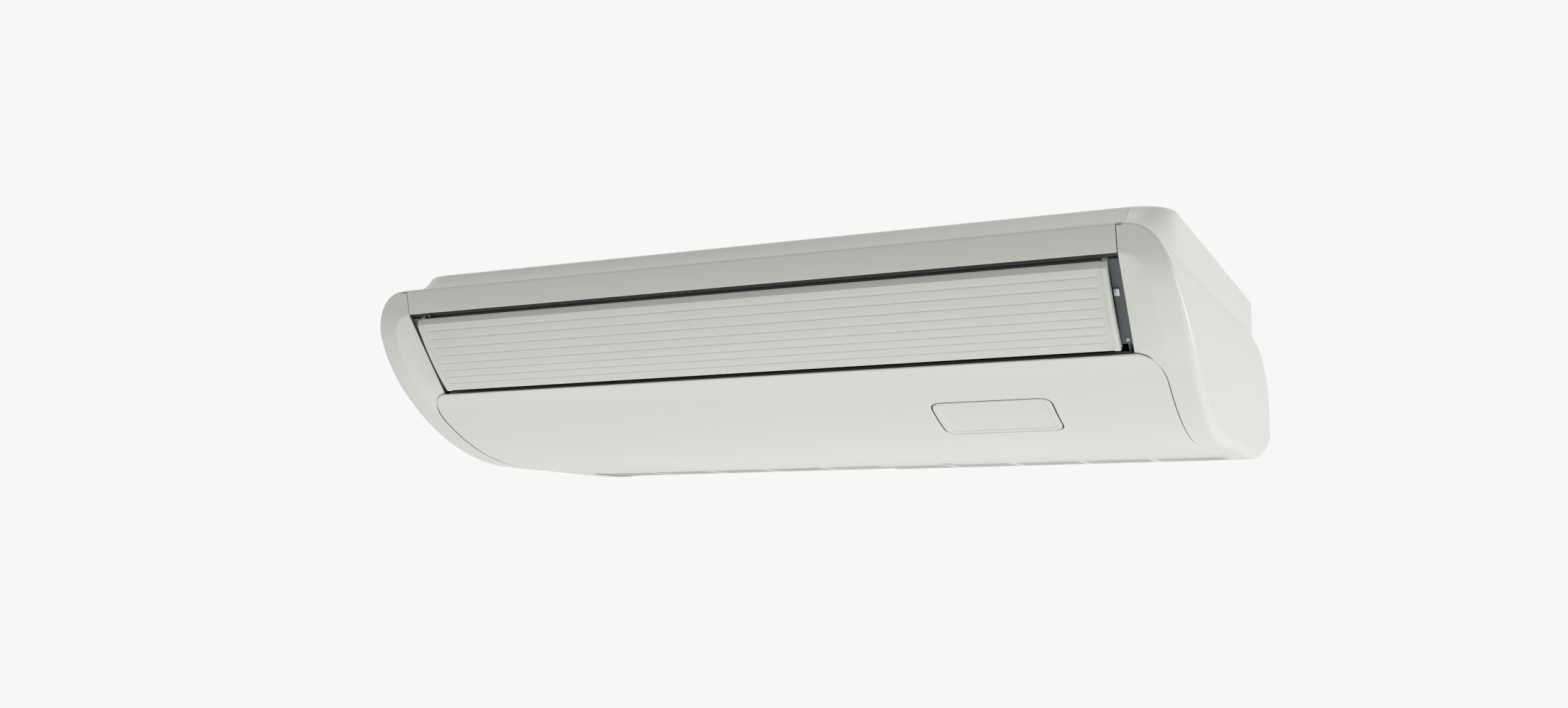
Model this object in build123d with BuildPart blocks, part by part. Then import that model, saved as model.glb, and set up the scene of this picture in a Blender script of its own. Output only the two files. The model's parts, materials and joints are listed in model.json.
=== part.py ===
from build123d import *
import os
from math import atan2, cos, degrees, hypot, radians, sin, sqrt, tan

# A ceiling or floor standing air conditioner, front towards -Y, underside on z = 0.
# Lengths in millimetres. "back" is a distance behind the frontmost line of the body.

# Overall size
width = 990.0
depth = 695.0
height = 231.5

# Body side view: flat belly, a large nose arc at the front, a gentle rise at the rear
nose_radius = 334.0
rise_start = 540.0
rise_radius = 465.0
rear_corner_radius = 6.0
cover_height = 199.3
brow_height = 136.5
nose_brow_back = 25.05
strip_bottom_back = 8.5
strip_bottom_height = 170.4
strip_top_back = 2.0
strip_lip_radius = 2.2

# Body front view: rounded shoulders and a slightly barrelled side
shoulder_inset = 55.0
shoulder_side_inset = 20.0
shoulder_side_height = 179.5
barrel_inset = 8.35
barrel_height = 151.0
side_flat_height = 80.0
bottom_corner_radius = 12.0

# Walls and clearances
wall = 2.5
casing_wall = 1.6
sheet = 1.5
seam = 0.7
seat = 0.3
running = 0.05
push_fit = 0.02

# Air outlet and the front panel below it
outlet_side = 62.0
outlet_half = width / 2 - outlet_side
outlet_lip_inset = 3.64
outlet_bottom_height = 78.6
panel_side = 34.0
panel_half = width / 2 - panel_side
panel_top_height = 78.6
panel_rear_back = 470.0
panel_lip_depth = 11.0
scoop_side = 30.0
scoop_half = width / 2 - scoop_side

# Upper casing with its cove along the front and its rounded plan corners
casing_side = 20.4
casing_half = width / 2 - casing_side
casing_lap = 2.0
brow_drop = 2.1
cove_front_back = 12.0
cove_front_height = cover_height + casing_lap
cove_rear_back = 72.0
cove_rear_height = height - brow_drop
cove_radius = 100.0
brow_back = 78.0
casing_corner_back = 117.5
casing_skirt_height = 160.0
cap_base_height = cover_height
cap_sections = 6
bolt_play = 8.0

# Receiver window
window_centre_x = 264.4
window_width = 136.0
window_length = 72.0
window_angle = 23.3
window_corner_radius = 11.0
window_groove = 1.4
window_pane_inset = 6.0
window_pane_depth = 1.0
window_flange = 6.0
window_flange_thickness = 1.5
window_post_radius = 3.0
window_post_spacing = 50.0
window_post_rows = 20.0
window_post_length = 6.0
receiver_margin = 5.0
receiver_eye_radius = 4.0
receiver_eye_length = 4.0

# Chassis plates
chassis_gap = 2.5
chassis_bottom = 5.0
chassis_step_height = 32.0
chassis_step_gap = 6.0
chassis_step_back = panel_rear_back - chassis_step_gap
chassis_front_back = 18.5
chassis_front_height = 176.0
chassis_toe_back = 90.0
chassis_toe_height = 86.0
chassis_knee_back = 188.0
chassis_knee_height = 30.0
chassis_heel_gap = 35.0
chassis_heel_back = depth - chassis_heel_gap
chassis_brow_rise = 18.0
partition_back = 395.0
partition_bottom = 6.0
partition_fold = 14.0
top_clearance = 0.6

# Rear panel
rear_sheet_bottom = 31.0
rear_lip_bottom = 26.5
rear_lip_top = 34.0
rear_lip_thickness = 2.0

# Outlet duct behind the flap
duct_gap = 5.3
duct_wall = 2.5
duct_rear_back = 176.0
duct_mouth_bottom = (86.0, 83.5)
duct_mouth_top = (14.0, 173.8)
duct_bend_top = (60.0, 187.0)
duct_rear_bottom_height = 68.5
duct_rear_top_height = 203.0
duct_foot_back = 96.0
gusset_positions = (-150.0, 115.0, 378.0)
gusset_thickness = 3.0

# Flap
flap_side_gap = 14.3
flap_half = outlet_half - flap_side_gap
flap_top = (7.4, 163.2)
flap_bottom = (70.6, 83.8)
flap_bulge = 4.2
flap_thickness = 4.0
flap_end_thickness = 6.0
flap_end_proud = 1.2
flap_end_depth = 12.0
flap_pivot_back = 56.2
flap_pivot_height = 137.2
flap_arm_back = 34.0
flap_pin_engagement = 5.0
flap_pin_radius = 3.0
flap_boss_radius = 7.0
flap_groove_count = 8
flap_groove_depth = 0.6
flap_first_groove = 0.153
flap_last_groove = 0.900

# Flap motor
flap_motor_radius = 12.0
flap_motor_length = 19.0
flap_motor_gap = 1.0
flap_motor_face = outlet_half + flap_motor_gap
flap_motor_ear_spacing = 31.0
flap_ear_radius = 3.5
flap_ear_hole_radius = 1.8
flap_ear_thickness = 1.5

# Vertical vanes in two banks
vane_count = 4
vane_first = 55.0
vane_side_gap = 78.0
vane_pitch = (outlet_half - vane_side_gap - vane_first) / (vane_count - 1)
vane_pivot_back = 142.0
vane_length = 50.0
vane_nose = 22.0
vane_thickness = 2.0
vane_bottom_height = 81.5
vane_top_height = 189.0
vane_pin_radius = 2.0
vane_crank = 24.0
vane_crank_radius = 1.5
vane_boss_radius = 3.0
vane_swing = 35.0
link_height = 75.0
link_thickness = 2.0
link_width = 15.0
link_play = 0.7

# Coil
coil_centre_back = 280.0
coil_length = 222.0
coil_depth = 44.0
coil_tilt = 35.0
coil_side_gap = 28.0
coil_half = outlet_half - coil_side_gap
coil_plate_thickness = 2.0
fin_pitch = 15.0
fin_thickness = 0.9
tube_radius = 4.76
tube_rows = 9
tube_row_pitch = 24.0
tube_column_pitch = 21.0
bend_stub = 1.0

# Drain pan
pan_front_top_height = 66.0
pan_front_height = 41.0
pan_floor_back = 238.0
pan_bottom_height = 14.0
pan_rear_gap = 7.0
pan_rear_back = partition_back - pan_rear_gap
pan_rear_height = 60.0
pan_wall = 4.0

# Fans
fan_rear_space = 150.0
fan_centre_back = depth - fan_rear_space
fan_centre_height = 125.0
housing_width = 190.0
housing_wall = 2.0
inlet_radius = 60.0
wheel_radius = 72.0
wheel_width = 160.0
wheel_blades = 36
blade_thickness = 1.2
wheel_ring_width = 7.0
wheel_disc = 2.0
hub_radius = 12.0
hub_length = 26.0
shaft_radius = 6.0
scroll_top_gap = 8.5
scroll_top = height - scroll_top_gap - fan_centre_height
scroll_rear = 91.0
scroll_bottom = 84.0
scroll_front = 78.0
mouth_height = 92.0
mouth_flange = 10.0
wheel_ring_thickness = 4.0
blade_angle = 20.0
shaft_overhang = 6.0

# Fan motor
motor_radius = 50.0
motor_length = 104.0
motor_nose_radius = 18.0
motor_nose_length = 10.0
strap_width = 14.0
strap_thickness = 1.5
bracket_thickness = 2.5
shelf_height = 62.0
saddle_width = 76.0
saddle_top = 100.0
shelf_plate_top = 150.0
strap_place = 35.0
strap_foot = 12.0

# Electrical box
box_reach = 97.0
box_inner_x = outlet_half - box_reach
box_partition_gap = 30.0
box_front_back = partition_back + box_partition_gap
box_rear_gap = 35.0
box_rear_back = depth - box_rear_gap
box_housing_gap = 26.0
fan_offset = box_inner_x - box_housing_gap - housing_width / 2
box_bottom_height = 68.0
box_top_height = 186.0
box_sheet = 1.2
board_thickness = 1.6
board_width = 74.0
board_length = 130.0
board_gap = 20.0
board_back = box_front_back + board_gap + board_length / 2
standoff = 8.0
standoff_radius = 3.0
box_lid_lip = 8.0
terminal_gap = 10.0
terminal_height = 100.0
terminal_depth = 22.0
terminal_length = 60.0
terminal_back = box_rear_back - terminal_gap - terminal_length / 2
terminal_drop = 18.0
terminal_pitch = 11.0
terminal_count = 5
terminal_screw_radius = 3.2

# Suspension
slot_side = 43.0
slot_x = width / 2 - slot_side
slot_front_back = 230.0
slot_spacing = 320.0
slot_width = 12.0
slot_length = 26.0
hanger_top_gap = 43.5
hanger_tab_height = height - hanger_top_gap
hanger_tab_length = 50.0
hanger_drop = 40.0
hanger_end_gap = 4.0
hanger_thickness = 2.5
screw_radius = 3.0
screw_head_radius = 6.0
screw_head_height = 3.5

# Intake grilles
grille_rear_gap = 9.0
grille_rear_back = depth - grille_rear_gap
grille_thickness = 2.5
grille_rim_height = 5.7
grille_rim_width = 3.0
left_grille_recess = 1.2
louvre_columns = 5
louvre_gap = 5.6
louvre_pitch = 9.2
louvre_front_margin = 27.0
louvre_rear_margin = 23.0
louvre_first_back = panel_rear_back + louvre_front_margin
louvre_rows = 1 + int((grille_rear_back - louvre_rear_margin - louvre_first_back) / louvre_pitch)
louvre_bar = 9.0
hinge_rear_gap = 15.0
hinge_back = depth - hinge_rear_gap
hinge_height = 32.0
hinge_pin_radius = 2.0
hinge_knuckle_radius = 4.0
hinge_arm_width = 10.0
hinge_ear_thickness = 4.0
hinge_ear_rise = 12.0
hinge_positions = (90.0, 372.0)

# Filters
filter_front_gap = 22.0
filter_front_back = panel_rear_back + filter_front_gap
filter_rear_gap = 23.0
filter_rear_back = depth - filter_rear_gap
filter_thickness = 2.0
filter_side_gap = 14.0
filter_rows = 9
filter_columns = 12
filter_bar = 3.0
filter_frame = 6.0

# Latches
latch_x = 98.9
latch_width = 26.0
latch_length = 12.0
latch_thickness = 2.2
latch_slot_width = 13.0
latch_notch_depth = 7.0
latch_reach = 5.0
latch_travel = 6.0
latch_knob_length = 5.0
latch_gap = 10.0
latch_back = panel_rear_back + latch_gap
latch_tongue_width = 9.0

# Pipes and drain
pipe_side = 29.0
pipe_x = width / 2 - pipe_side
gas_pipe_radius = 6.35
liquid_pipe_radius = 3.175
liquid_pipe_height = 84.0
gas_pipe_bend = 20.0
liquid_pipe_bend = 12.0
pipe_end_gap = 55.0
pipe_end_back = depth - pipe_end_gap
union_length = 16.0
gas_union_radius = 9.5
liquid_union_radius = 5.5
union_hex = 4.0
union_hex_length = 10.0
drain_pipe_radius = 10.5
drain_wall = 2.5
drain_socket_radius = 13.0
drain_socket_length = 50.0
drain_height = 42.0
drain_side = 25.0
drain_x = width / 2 - drain_side
drain_pan_gap = 16.0
drain_back = pan_rear_back - drain_pan_gap
drain_end_gap = 40.0
drain_end_back = depth - drain_end_gap
drain_bend = 22.0
notch_low = 14.0
notch_high = 154.0
notch_half_width = 22.0
grommet_side = 53.0
grommet_x = outlet_half - grommet_side
grommet_height = 150.0
grommet_bore_radius = 9.0
grommet_neck_radius = 13.0
grommet_flange_radius = 17.0
grommet_flange = 2.5

os.makedirs("parts", exist_ok=True)

half_width = width / 2
belly_front = nose_brow_back + sqrt(2 * nose_radius * brow_height - brow_height ** 2)
lip_run = sqrt(2 * nose_radius * outlet_bottom_height - outlet_bottom_height ** 2)
outlet_bottom_back = belly_front - lip_run + outlet_lip_inset
strip_lean = atan2(strip_bottom_back - strip_top_back, cover_height - strip_bottom_height)
strip_lead = strip_top_back + strip_lip_radius * (tan(strip_lean) + 1 / cos(strip_lean) - 1)
front = -(depth + strip_lead) / 2


def at(back, up):
    """A point of the side view: distance behind the front line, and height."""
    return (front + back, up)


def nose_point(up):
    """The nose arc at one height."""
    return at(belly_front - sqrt(2 * nose_radius * up - up * up), up)


def belly_height(back):
    """Height of the underside behind the nose."""
    if back <= rise_start:
        return 0.0
    return rise_radius - sqrt(rise_radius ** 2 - (back - rise_start) ** 2)


def save(builder, name):
    """Name a finished piece and write it."""
    builder.part.label = name
    export_step(builder.part, f"parts/{name}.step")


def side_outline(inset):
    """Side view of the body as a face, moved inwards by an inset."""
    with BuildSketch() as face:
        with BuildLine():
            belly = Line(at(belly_front, 0), at(rise_start, 0))
            rise_end = at(depth, belly_height(depth))
            rise_mid = at((rise_start + depth) / 2, belly_height((rise_start + depth) / 2))
            ThreePointArc(belly @ 1, rise_mid, rise_end)
            Line(rise_end, at(depth, cover_height))
            Line(at(depth, cover_height), at(strip_top_back, cover_height))
            Line(at(strip_top_back, cover_height), at(strip_bottom_back, strip_bottom_height))
            nose = ThreePointArc(belly @ 0, nose_point(brow_height / 4), nose_point(brow_height))
            TangentArc(nose @ 1, at(strip_bottom_back, strip_bottom_height), tangent=nose % 1)
        make_face()
        rear_corner = face.vertices().group_by(Axis.X)[-1].sort_by(Axis.Y)[0]
        fillet(rear_corner, rear_corner_radius)
        lip = face.vertices().group_by(Axis.X)[0].sort_by(Axis.Y)[-1]
        fillet(lip, strip_lip_radius)
        if inset:
            offset(amount=-inset, kind=Kind.INTERSECTION)
    return face.sketch


def front_outline(inset):
    """Front view of the body as a face, moved inwards by an inset."""
    with BuildSketch() as face:
        with BuildLine():
            shoulder_start = (half_width - shoulder_inset, cover_height)
            shoulder_end = (half_width - shoulder_side_inset, shoulder_side_height)
            barrel = (half_width - barrel_inset, barrel_height)
            Line((0, cover_height), shoulder_start)
            shoulder = TangentArc(shoulder_start, shoulder_end, tangent=(1, 0))
            TangentArc(shoulder @ 1, barrel, tangent=shoulder % 1)
            TangentArc((half_width, side_flat_height), barrel, tangent=(0, 1))
            Line((half_width, side_flat_height), (half_width, 0))
            Line((half_width, 0), (0, 0))
            Line((0, 0), (0, cover_height))
        make_face()
        corner = face.vertices().group_by(Axis.Y)[0].sort_by(Axis.X)[-1]
        fillet(corner, bottom_corner_radius)
        mirror(about=Plane.YZ)
        if inset:
            offset(amount=-inset, kind=Kind.INTERSECTION)
    return face.sketch


def envelope(inset):
    """The closed outer shape of the covers and panel, moved inwards by an inset."""
    with BuildPart() as shape:
        with BuildSketch(Plane.YZ):
            add(side_outline(inset))
        extrude(amount=width, both=True)
        with BuildSketch(Plane.XZ):
            add(front_outline(inset))
        extrude(amount=depth, both=True, mode=Mode.INTERSECT)
    return shape.part


chord_run = outlet_bottom_back - strip_bottom_back
chord_rise = strip_bottom_height - outlet_bottom_height
chord = hypot(chord_run, chord_rise)
chord_angle = degrees(atan2(-chord_rise, chord_run))


def scoop(setback):
    """The hollow beside the outlet: a ruled cut between a chord and the nose arc."""
    inwards = (setback * chord_rise / chord, setback * chord_run / chord)
    along = (setback * chord_run / chord, -setback * chord_rise / chord)
    low_shift = (inwards[0] + along[0], inwards[1] + along[1])
    high_shift = (inwards[0] - along[0], inwards[1] - along[1])

    def moved(point, shift):
        return (point[0] + shift[0], point[1] + shift[1])

    with BuildPart() as cut:
        with BuildSketch(Plane.YZ.offset(outlet_half - seam)):
            with BuildLine():
                low = moved(at(outlet_bottom_back, outlet_bottom_height), low_shift)
                high = moved(at(strip_bottom_back, strip_bottom_height), high_shift)
                Line(low, high)
                Line(high, (-depth, high[1]))
                Line((-depth, high[1]), (-depth, low[1]))
                Line((-depth, low[1]), low)
            make_face()
        with BuildSketch(Plane.YZ.offset(scoop_half)):
            with BuildLine():
                far_low = moved(nose_point(outlet_bottom_height), low_shift)
                far_high = moved(at(strip_bottom_back, strip_bottom_height), high_shift)
                middle = moved(nose_point((outlet_bottom_height + strip_bottom_height) / 2), inwards)
                ThreePointArc(far_low, middle, far_high)
                Line(far_high, (-depth, far_high[1]))
                Line((-depth, far_high[1]), (-depth, far_low[1]))
                Line((-depth, far_low[1]), far_low)
            make_face()
        loft(ruled=True)
    return cut.part


def panel_outline(gap):
    """Front view of the panel's place between the covers, grown by a gap."""
    top = panel_top_height + gap
    with BuildSketch() as face:
        with Locations((0, top / 2 - seam)):
            Rectangle(2 * (panel_half + gap), top + 2 * seam)
        fillet(face.vertices().group_by(Axis.Y)[-1], panel_half - outlet_half)
    return face.sketch


def across(back):
    """An XZ plane at a distance behind the front line, facing forwards."""
    return Plane.XZ.offset(-front - back)


outer_body = envelope(0)
inner_body = envelope(wall)
grown_body = envelope(-seam / 2)
outer_scoop = scoop(0)
inner_scoop = scoop(wall)

# Side covers: moulded shells that close each end of the body
with BuildPart() as cover_core:
    add(inner_body)
    add(inner_scoop, mode=Mode.SUBTRACT)

with BuildPart() as side_cover_right:
    add(outer_body)
    add(outer_scoop, mode=Mode.SUBTRACT)
    add(cover_core.part, mode=Mode.SUBTRACT)
    with BuildSketch(across(0)):
        add(panel_outline(seam))
        with Locations((0, height / 2)):
            Rectangle(2 * (outlet_half + seam), height)
    extrude(amount=-panel_rear_back, mode=Mode.SUBTRACT)
    with BuildSketch(across(panel_rear_back)):
        with Locations((0, (height + chassis_step_height) / 2)):
            Rectangle(2 * (outlet_half + seam), height - chassis_step_height)
        with Locations((0, chassis_step_height / 2 - seam)):
            Rectangle(2 * (panel_half + seam), chassis_step_height + 2 * seam)
    extrude(amount=-depth, mode=Mode.SUBTRACT)
    with BuildSketch(Plane.XY.offset(height)):
        with Locations((outlet_half, front + (casing_corner_back + depth) / 2)):
            Rectangle(2 * (casing_half - outlet_half - 2 * wall), depth - casing_corner_back - 4 * wall)
    extrude(amount=-(height - shoulder_side_height), mode=Mode.SUBTRACT)
    split(bisect_by=Plane.YZ, keep=Keep.TOP)
save(side_cover_right, "side_cover_right")

with BuildPart() as side_cover_left:
    mirror(side_cover_right.part, about=Plane.YZ)
    with BuildSketch(across(depth)):
        with Locations((-pipe_x, (notch_low + notch_high) / 2)):
            RectangleRounded(2 * notch_half_width, notch_high - notch_low, 4 * wall)
    extrude(amount=2 * wall, mode=Mode.SUBTRACT)
save(side_cover_left, "side_cover_left")

# Trim strip above the outlet, with a flange that the casing sheet lies on
with BuildPart() as top_strip:
    add(outer_body)
    add(inner_body, mode=Mode.SUBTRACT)
    with BuildSketch(across(0)):
        with Locations((0, (strip_bottom_height + height) / 2)):
            Rectangle(2 * outlet_half, height - strip_bottom_height)
    extrude(amount=-2 * cove_front_back, mode=Mode.INTERSECT)
save(top_strip, "top_strip")

# Receiver window in the panel: a pane with a flange behind the panel's edge
window_back = belly_front - nose_radius * sin(radians(window_angle))
window_height = nose_radius * (1 - cos(radians(window_angle)))
window_normal = (0, -sin(radians(window_angle)), -cos(radians(window_angle)))
window_origin = (window_centre_x, *at(window_back, window_height))
window_plane = Plane(window_origin, x_dir=(1, 0, 0), z_dir=window_normal)
shelf_body = envelope(wall + seat)
deep_body = envelope(wall + seat + window_flange_thickness)
pane_body = envelope(window_pane_depth)


def window_prism(margin):
    """A rounded block through the panel at the window, grown by a margin."""
    with BuildPart() as block:
        with BuildSketch(window_plane.offset(-window_length)):
            RectangleRounded(window_width + 2 * margin, window_length + 2 * margin,
                             max(window_corner_radius + margin, 1.0))
        extrude(amount=2 * window_length)
    return block.part


window_hole = window_prism(window_groove)
window_face = window_prism(0)
window_recess = window_prism(-window_pane_inset)
window_back_face = window_prism(window_flange)

with BuildPart() as front_panel:
    add(outer_body)
    add(inner_body, mode=Mode.SUBTRACT)
    with BuildSketch(across(0)):
        add(panel_outline(0))
    extrude(amount=-panel_rear_back, mode=Mode.INTERSECT)
    with BuildSketch(Plane.XY.offset(panel_top_height)):
        with Locations((0, front + outlet_bottom_back + panel_lip_depth / 2)):
            Rectangle(2 * outlet_half, panel_lip_depth)
    extrude(amount=-wall)
    add(window_hole, mode=Mode.SUBTRACT)
    with BuildSketch(Plane.XY):
        for side in (-1, 1):
            with Locations((side * latch_x, front + panel_rear_back)):
                Rectangle(latch_slot_width, 2 * latch_notch_depth)
    extrude(amount=wall, mode=Mode.SUBTRACT)
save(front_panel, "front_panel")

with BuildPart() as window_pane:
    add(outer_body)
    add(deep_body, mode=Mode.SUBTRACT)
    add(window_face, mode=Mode.INTERSECT)

with BuildPart() as window_rim:
    add(shelf_body)
    add(deep_body, mode=Mode.SUBTRACT)
    add(window_back_face, mode=Mode.INTERSECT)

with BuildPart() as window_sink:
    add(outer_body)
    add(pane_body, mode=Mode.SUBTRACT)
    add(window_recess, mode=Mode.INTERSECT)

receiver_plane = window_plane.offset(-(wall + seat + window_flange_thickness + window_post_length))
with BuildPart() as display_cover:
    add(window_pane.part)
    add(window_rim.part)
    add(window_sink.part, mode=Mode.SUBTRACT)
    with BuildSketch(receiver_plane):
        with GridLocations(window_post_spacing, window_post_rows, 2, 2):
            Circle(window_post_radius)
    extrude(amount=window_post_length + wall)
save(display_cover, "display_cover")

with BuildPart() as receiver_board:
    with BuildSketch(receiver_plane.offset(-seat)):
        RectangleRounded(window_post_spacing + 2 * (window_post_radius + receiver_margin),
                         window_post_rows + 2 * (window_post_radius + receiver_margin),
                         receiver_margin)
    extrude(amount=-board_thickness)
    with BuildSketch(receiver_plane.offset(-seat)):
        Circle(receiver_eye_radius)
    extrude(amount=receiver_eye_length)
save(receiver_board, "receiver_board")


# Upper casing: one folded sheet with a cove, and a cap at each end
def cove_back(up):
    """Where the cove or the brow lies at one height, behind the front line."""
    if up >= cove_rear_height:
        share = (up - cove_rear_height) / (height - cove_rear_height)
        return cove_rear_back + (brow_back - cove_rear_back) * share * share
    run = cove_rear_back - cove_front_back
    rise = cove_rear_height - cove_front_height
    half_chord = hypot(run, rise) / 2
    reach = sqrt(cove_radius ** 2 - half_chord ** 2) / (2 * half_chord)
    centre_back = (cove_front_back + cove_rear_back) / 2 - rise * reach
    centre_height = (cove_front_height + cove_rear_height) / 2 + run * reach
    return centre_back + sqrt(max(cove_radius ** 2 - (centre_height - up) ** 2, 0))


def casing_outline(inset):
    """Side view of the casing as a face, its top and cove moved inwards by an inset."""
    middle_height = (cove_front_height + cove_rear_height) / 2
    cove_start = at(cove_front_back + inset / 3, cove_front_height - inset)
    cove_middle = at(cove_back(middle_height) + inset / 2, middle_height - inset)
    cove_end = at(cove_rear_back + inset / 2, cove_rear_height - inset)
    brow_end = at(brow_back, height - inset)
    with BuildSketch() as face:
        with BuildLine():
            ThreePointArc(cove_start, cove_middle, cove_end)
            TangentArc(brow_end, cove_end, tangent=(-1, 0))
            Line(brow_end, at(depth, height - inset))
            Line(at(depth, height - inset), at(depth, shoulder_side_height))
            Line(at(depth, shoulder_side_height), (cove_start[0], shoulder_side_height))
            Line((cove_start[0], shoulder_side_height), cove_start)
        make_face()
    return face.sketch


with BuildPart() as top_casing:
    with BuildSketch(Plane.YZ):
        add(casing_outline(0))
        add(casing_outline(casing_wall), mode=Mode.SUBTRACT)
    extrude(amount=outlet_half - seam / 2, both=True)
    with BuildSketch(Plane.XY.offset(cove_front_height - casing_wall)):
        Rectangle(width, 2 * depth)
    extrude(amount=height, mode=Mode.INTERSECT)
save(top_casing, "top_casing")


def corner_section(up, inset):
    """Plan of the casing's rounded corner at one height: a quarter of an ellipse."""
    centre = (outlet_half, front + casing_corner_back)
    side_reach = casing_half - inset - outlet_half
    front_reach = casing_corner_back - cove_back(max(up, cove_front_height)) - inset
    with BuildSketch() as section:
        with BuildLine():
            EllipticalCenterArc(centre, side_reach, front_reach, start_angle=270, arc_size=90)
            Line((centre[0] + side_reach, centre[1]), centre)
            Line(centre, (centre[0], centre[1] - front_reach))
        make_face()
    return section.sketch


def casing_cap(inset):
    """A casing end as a solid: the corner lofted up the cove, a base and a straight rear."""
    straight_middle = ((outlet_half + casing_half - inset) / 2,
                       front + (casing_corner_back + depth - inset) / 2)
    with BuildPart() as cap:
        for step in range(cap_sections + 1):
            up = cap_base_height + (height - cap_base_height) * step / cap_sections
            with BuildSketch(Plane.XY.offset(up - inset)):
                add(corner_section(up, inset))
        loft()
        with BuildSketch(Plane.XY.offset(height - inset)):
            with Locations(straight_middle):
                Rectangle(casing_half - inset - outlet_half, depth - inset - casing_corner_back)
        extrude(amount=-(height - casing_skirt_height))
        with BuildSketch(Plane.XY.offset(cap_base_height - inset)):
            add(corner_section(cap_base_height, inset))
        extrude(amount=-(cap_base_height - casing_skirt_height))
    return cap.part


outer_cap = casing_cap(0)
inner_cap = casing_cap(casing_wall)

with BuildPart() as casing_end_right:
    add(outer_cap)
    add(inner_cap, mode=Mode.SUBTRACT)
    add(grown_body, mode=Mode.SUBTRACT)
    with BuildSketch(Plane.XY.offset(height)):
        with Locations((outlet_half, 0)):
            Rectangle(seam, 2 * depth)
    extrude(amount=-height, mode=Mode.SUBTRACT)
    with BuildSketch(Plane.XY.offset(height)):
        for spot in range(2):
            with Locations((slot_x, front + slot_front_back + spot * slot_spacing)):
                SlotOverall(slot_length + bolt_play, slot_width + bolt_play)
    extrude(amount=-2 * casing_wall, mode=Mode.SUBTRACT)
save(casing_end_right, "casing_end_right")

with BuildPart() as casing_end_left:
    mirror(casing_end_right.part, about=Plane.YZ)
save(casing_end_left, "casing_end_left")

# Rear panel: a sheet with a lower lip, ears for the grilles and a hole for the cable
ear_reach = hinge_arm_width / 2 + seat + hinge_ear_thickness / 2
with BuildPart() as rear_panel:
    with BuildSketch(across(depth)):
        with Locations((0, (rear_sheet_bottom + height - casing_wall - top_clearance) / 2)):
            Rectangle(2 * (outlet_half - seam), height - casing_wall - top_clearance - rear_sheet_bottom)
    extrude(amount=sheet)
    with BuildSketch(across(depth - sheet)):
        with Locations((0, (rear_lip_bottom + rear_lip_top) / 2)):
            Rectangle(2 * (outlet_half - seam), rear_lip_top - rear_lip_bottom)
    extrude(amount=rear_lip_thickness)
    for side in (-1, 1):
        lift = left_grille_recess if side < 0 else 0
        for spot in hinge_positions:
            for flank in (-1, 1):
                ear_x = side * spot + flank * ear_reach - hinge_ear_thickness / 2
                with BuildSketch(Plane.YZ.offset(ear_x)):
                    with BuildLine():
                        ear_low = hinge_height + lift - hinge_knuckle_radius
                        ear_high = hinge_height + lift + hinge_knuckle_radius
                        ear_rise = hinge_height + lift + hinge_ear_rise
                        knuckle_front = at(hinge_back - hinge_knuckle_radius, hinge_height + lift)
                        ThreePointArc(at(hinge_back, ear_low), knuckle_front, at(hinge_back, ear_high))
                        Line(at(hinge_back, ear_high), at(depth - sheet, ear_rise))
                        Line(at(depth - sheet, ear_rise), at(depth - sheet, ear_low))
                        Line(at(depth - sheet, ear_low), at(hinge_back, ear_low))
                    make_face()
                extrude(amount=hinge_ear_thickness)
                with BuildSketch(Plane.YZ.offset(ear_x - hinge_ear_thickness / 2)):
                    with Locations(at(hinge_back, hinge_height + lift)):
                        Circle(hinge_pin_radius + running)
                extrude(amount=2 * hinge_ear_thickness, mode=Mode.SUBTRACT)
    with BuildSketch(across(depth)):
        with Locations((grommet_x, grommet_height)):
            Circle(grommet_neck_radius + push_fit)
    extrude(amount=2 * sheet, mode=Mode.SUBTRACT)
save(rear_panel, "rear_panel")


# Chassis side plates that carry the fan deck, the coil and the flap bearings
def chassis_face():
    """Side view of a chassis plate: cut back for the mouth, the pan and the grilles."""
    with BuildSketch() as face:
        with BuildLine():
            Polyline(
                at(chassis_front_back, chassis_front_height),
                at(chassis_toe_back, chassis_toe_height),
                at(chassis_toe_back + 4 * chassis_gap, chassis_toe_height - 4 * chassis_gap),
                at(chassis_knee_back, chassis_knee_height),
                at(belly_front, chassis_bottom),
                at(chassis_step_back, chassis_bottom),
                at(chassis_step_back, chassis_step_height),
                at(chassis_heel_back, chassis_step_height + chassis_gap),
                at(depth - sheet - seam, chassis_step_height + 4 * chassis_gap),
                at(depth - sheet - seam, height - casing_wall - top_clearance),
                at(chassis_toe_back, height - casing_wall - top_clearance),
                at(duct_bend_top[0], duct_bend_top[1] + chassis_brow_rise),
                at(chassis_front_back, chassis_front_height),
            )
        make_face()
    return face.sketch


flap_pivot = at(flap_pivot_back, flap_pivot_height)
plate_x = outlet_half - chassis_gap
with BuildPart() as chassis_side_right:
    with BuildSketch(Plane.YZ.offset(plate_x)):
        add(chassis_face())
        with Locations(flap_pivot):
            Circle(flap_pin_radius + seat, mode=Mode.SUBTRACT)
    extrude(amount=sheet)
save(chassis_side_right, "chassis_side_right")

coil_along = (sin(radians(coil_tilt)), -cos(radians(coil_tilt)))
coil_across = (cos(radians(coil_tilt)), sin(radians(coil_tilt)))
pan_inner_height = pan_bottom_height + pan_wall
coil_half_height = (coil_depth * coil_across[1] - coil_length * coil_along[1]) / 2
coil_centre_height = pan_inner_height + seat + coil_half_height


def coil_point(row, column):
    """Side view place of one tube of the coil, rows counted from the top, columns from the front."""
    along = (row - (tube_rows - 1) / 2) * tube_row_pitch
    over = (column - 0.5) * tube_column_pitch
    back = coil_centre_back + along * coil_along[0] + over * coil_across[0]
    up = coil_centre_height + along * coil_along[1] + over * coil_across[1]
    return at(back, up)


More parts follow.
